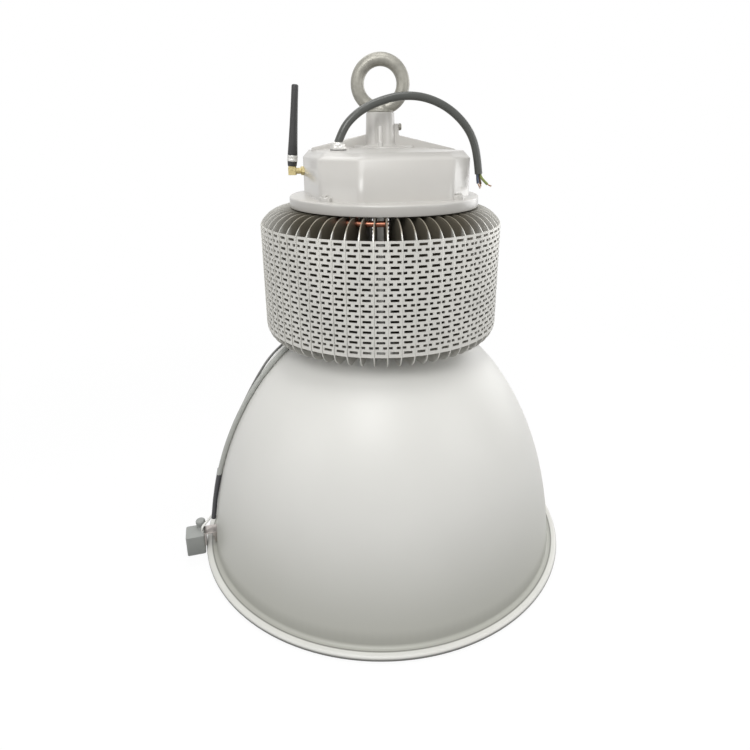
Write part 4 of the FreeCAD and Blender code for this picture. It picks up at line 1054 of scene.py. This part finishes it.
class LIGHT_OT_led_unit(bpy.types.Operator):
    """Finishes the LED board, lens and holder inside the reflector"""
    bl_idname = "light.led_unit"
    bl_label = "LED unit"

    def execute(self, context):
        dress("led_board", moulded_plastic("White solder mask", (0.82, 0.82, 0.8), 0.35))
        dress("led_chips", phosphor("Phosphor"))
        dress("glass_lens", lens_glass("Tempered glass"))
        dress("lens_gasket", moulded_plastic("Lens seal", (0.05, 0.05, 0.05), 0.6))
        dress("lens_holder", bright_metal("Turned holder", (0.62, 0.62, 0.6), 0.35))
        dress("lens_holder_screws", bright_metal("Holder screw", (0.5, 0.49, 0.47), 0.3))
        return {"FINISHED"}


# ---------------- sensor

SENSOR_AZIMUTH = -74.0
SENSOR_NEAR = 210.9
CASE_TOP = 24.5
CASE_SIZE = (20, 22, 24)
SLEEVE_TOP = 0.091


def sensor_place(radial, along, z):
    """Sensor frame: X outwards from the rim, Y round it towards the front, Z up."""
    return turned(SENSOR_AZIMUTH - 90) @ at(radial, along, z)


def sleeved_conduit(name, base):
    """Smooth plastic conduit, black below the level where a sleeve covers it."""
    finish = Finish(name, base, 0.22)
    bare = finish.band(finish.axis("Z"), SLEEVE_TOP - 0.0005, SLEEVE_TOP + 0.0005)
    return finish.set(**{
        "Base Color": finish.blend(bare, (0.06, 0.06, 0.065), base),
        "Normal": finish.bump(finish.noise(1.2, detail=2), 0.05, 0.3),
    })


class LIGHT_OT_sensor(bpy.types.Operator):
    """Models the sensor and its thumb nut, and finishes the bracket and leads"""
    bl_idname = "light.sensor"
    bl_label = "Sensor"

    def execute(self, context):
        settings = context.scene.bay_light.sensor
        grey = moulded_plastic("Sensor case", settings.case, 0.5)
        case = Piece("sensor_case")
        middle = sensor_place(SENSOR_NEAR + CASE_SIZE[0] / 2, 0, CASE_TOP - CASE_SIZE[2] / 2)
        with case.shell(place=middle) as part:
            bmesh.ops.create_cube(part, size=1.0)
            bmesh.ops.scale(part, vec=CASE_SIZE, verts=part.verts)
            round_edges(part, 2.0, 4, 30, lambda e: abs(e.verts[0].co.z - e.verts[1].co.z) > 10)
            round_edges(part, 0.7, 3, 60)
        with case.shell(place=sensor_place(SENSOR_NEAR + 13, 0, CASE_TOP)) as part:
            prism(part, 20, 1.3, -0.25, 0.25, tip=0.9)
        case.done(grey, replaces=["sensor_box"], slot="grey_plastic")
        dress("sensor_window", moulded_plastic("Sensor window", (0.7, 0.7, 0.68), 0.3))
        knob = Piece("thumb_nut")
        outline = Outline(0, -6).line((1.5, -6), (1.5, 0), (4.5, 0), (4.8, 3.6), (5.3, 4.1))
        outline.line((5.3, 6)).arc(2.8, 8.5, 2.5, 1, 6).line((0, 8.5))
        knob.spin(outline, 36, place=sensor_place(SENSOR_NEAR + 3.6, -8.2, CASE_TOP))
        knob.done(grey, replaces=["sensor_thumb_nut"], slot="grey_plastic")
        zinc = bright_metal("Zinc bracket", (0.42, 0.39, 0.37), 0.3)
        for node in ("sensor_bracket", "bracket_screw", "bracket_nut"):
            dress(node, zinc)
        dress("sensor_conduit", sleeved_conduit("Conduit", settings.conduit))
        dress("heat_shrink_sleeve", moulded_plastic("Heat shrink", (0.03, 0.03, 0.032), 0.45))
        dress("sensor_lead", moulded_plastic("Lead sheath", (0.2, 0.2, 0.19), 0.3))
        dress("sensor_wires", moulded_plastic("Wire insulation", (0.75, 0.75, 0.72), 0.35))
        return {"FINISHED"}


# ---------------- studio

LAMPS = (
    ("overhead", (0, -0.4, 2.3), 1.0, 13.5),
    ("near", (-0.15, -0.75, 0.95), 0.4, 4.2),
    ("left", (-0.95, -0.6, 0.6), 0.5, 1.6),
    ("right", (0.95, -0.5, 0.6), 0.5, 2.0),
    ("rear", (1.2, 0.8, 0.6), 1.0, 7.0),
    ("back", (-0.5, 1.2, 1.9), 1.0, 7.0),
)
LAMPS_AIM = Vector((0, 0, 0.25))
LENS = 27.26
LENS_SHIFT = (-0.0078, -0.0725)
CAMERA_DIP = 18.53
CAMERA_ROLL = -0.18
PAPER_GLOW = 0.86
PAPER_FADE = (0.3, 0.9)
WHITE = (1, 1, 1, 1)


class LIGHT_OT_studio(bpy.types.Operator):
    """Lays the floor, hangs the lamps and sets the camera"""
    bl_idname = "light.studio"
    bl_label = "Studio"

    def execute(self, context):
        scene = context.scene
        settings = scene.bay_light.studio
        self.camera(scene, settings)
        self.floor(settings)
        self.sky(scene, settings)
        for name, spot, size, power in LAMPS:
            self.lamp(name, spot, size, settings.lamps * power)
        scene.view_settings.view_transform = "Standard"
        return {"FINISHED"}

    def camera(self, scene, settings):
        data = bpy.data.cameras.new("camera")
        data.sensor_width = 36
        data.lens = LENS
        data.shift_x, data.shift_y = LENS_SHIFT
        data.clip_start = 0.01
        camera = add("camera", data)
        camera.location = (0, -settings.distance, settings.height)
        aim = turned(90 - CAMERA_DIP, "X", 3) @ turned(CAMERA_ROLL, size=3)
        camera.rotation_euler = aim.to_euler()
        scene.camera = camera

    def floor(self, settings):
        part = bmesh.new()
        bmesh.ops.create_grid(part, x_segments=1, y_segments=1, size=8)
        mesh = bpy.data.meshes.new("floor")
        part.to_mesh(mesh)
        part.free()
        mesh.materials.append(seen_white(Finish("White paper", settings.floor, 0.9)))
        add("floor", mesh)

    def sky(self, scene, settings):
        world = bpy.data.worlds.new("studio")
        world.use_nodes = True
        scene.world = world
        graph = Graph(world.node_tree)
        light = graph.tree.nodes["Background"]
        light.inputs["Color"].default_value = WHITE
        strength = settings.sky + (1 - settings.sky) * graph.shows_background()
        graph.feed(light.inputs["Strength"], strength)

    def lamp(self, name, spot, size, power):
        data = bpy.data.lights.new(name, "AREA")
        data.size = size
        data.energy = power
        lamp = add(name, data)
        lamp.location = spot
        lamp.rotation_euler = (LAMPS_AIM - Vector(spot)).to_track_quat("-Z", "Y").to_euler()


def seen_white(paper):
    """Paper that shows as nearly white, and that still takes the shadow."""
    shown = paper.shows_background()
    paper.set(**{"Base Color": paper.blend(shown, paper.base, WHITE[:3])})
    far = paper.band(paper.distance(paper.spot()), *PAPER_FADE)
    glow = paper.node("ShaderNodeEmission", inputs={"Color": WHITE})
    mixed = paper.node("ShaderNodeMixShader", inputs={
        0: shown * (PAPER_GLOW + (1 - PAPER_GLOW) * far),
        1: Wire(paper, paper.surface.outputs["BSDF"]),
        2: glow})
    paper.feed(paper.output.inputs["Surface"], mixed)
    return paper.material


# ---------------- panel and start

class LIGHT_PT_panel(bpy.types.Panel):
    """Lists the steps that dress the light"""
    bl_idname = "LIGHT_PT_panel"
    bl_label = "High Bay Light"
    bl_space_type = "VIEW_3D"
    bl_region_type = "UI"
    bl_category = "Light"

    def draw(self, context):
        for step in STEPS:
            self.layout.operator(step.bl_idname)


STEPS = (LIGHT_OT_reflector, LIGHT_OT_led_unit, LIGHT_OT_heat_sink, LIGHT_OT_housing,
         LIGHT_OT_electronics, LIGHT_OT_eye_bolt, LIGHT_OT_supply_cable, LIGHT_OT_antenna,
         LIGHT_OT_sensor, LIGHT_OT_studio)
CLASSES = (ReflectorSettings, HeatSinkSettings, HousingSettings, HangingSettings, CableSettings,
           AntennaSettings, SensorSettings, StudioSettings, LightSettings, *STEPS, LIGHT_PT_panel)


def register():
    for each in CLASSES:
        bpy.utils.register_class(each)
    bpy.types.Scene.bay_light = PointerProperty(type=LightSettings)


def unregister():
    del bpy.types.Scene.bay_light
    for each in reversed(CLASSES):
        bpy.utils.unregister_class(each)


def main():
    register()
    for step in STEPS:
        group, name = step.bl_idname.split(".")
        getattr(getattr(bpy.ops, group), name)()


if __name__ == "__main__":
    main()
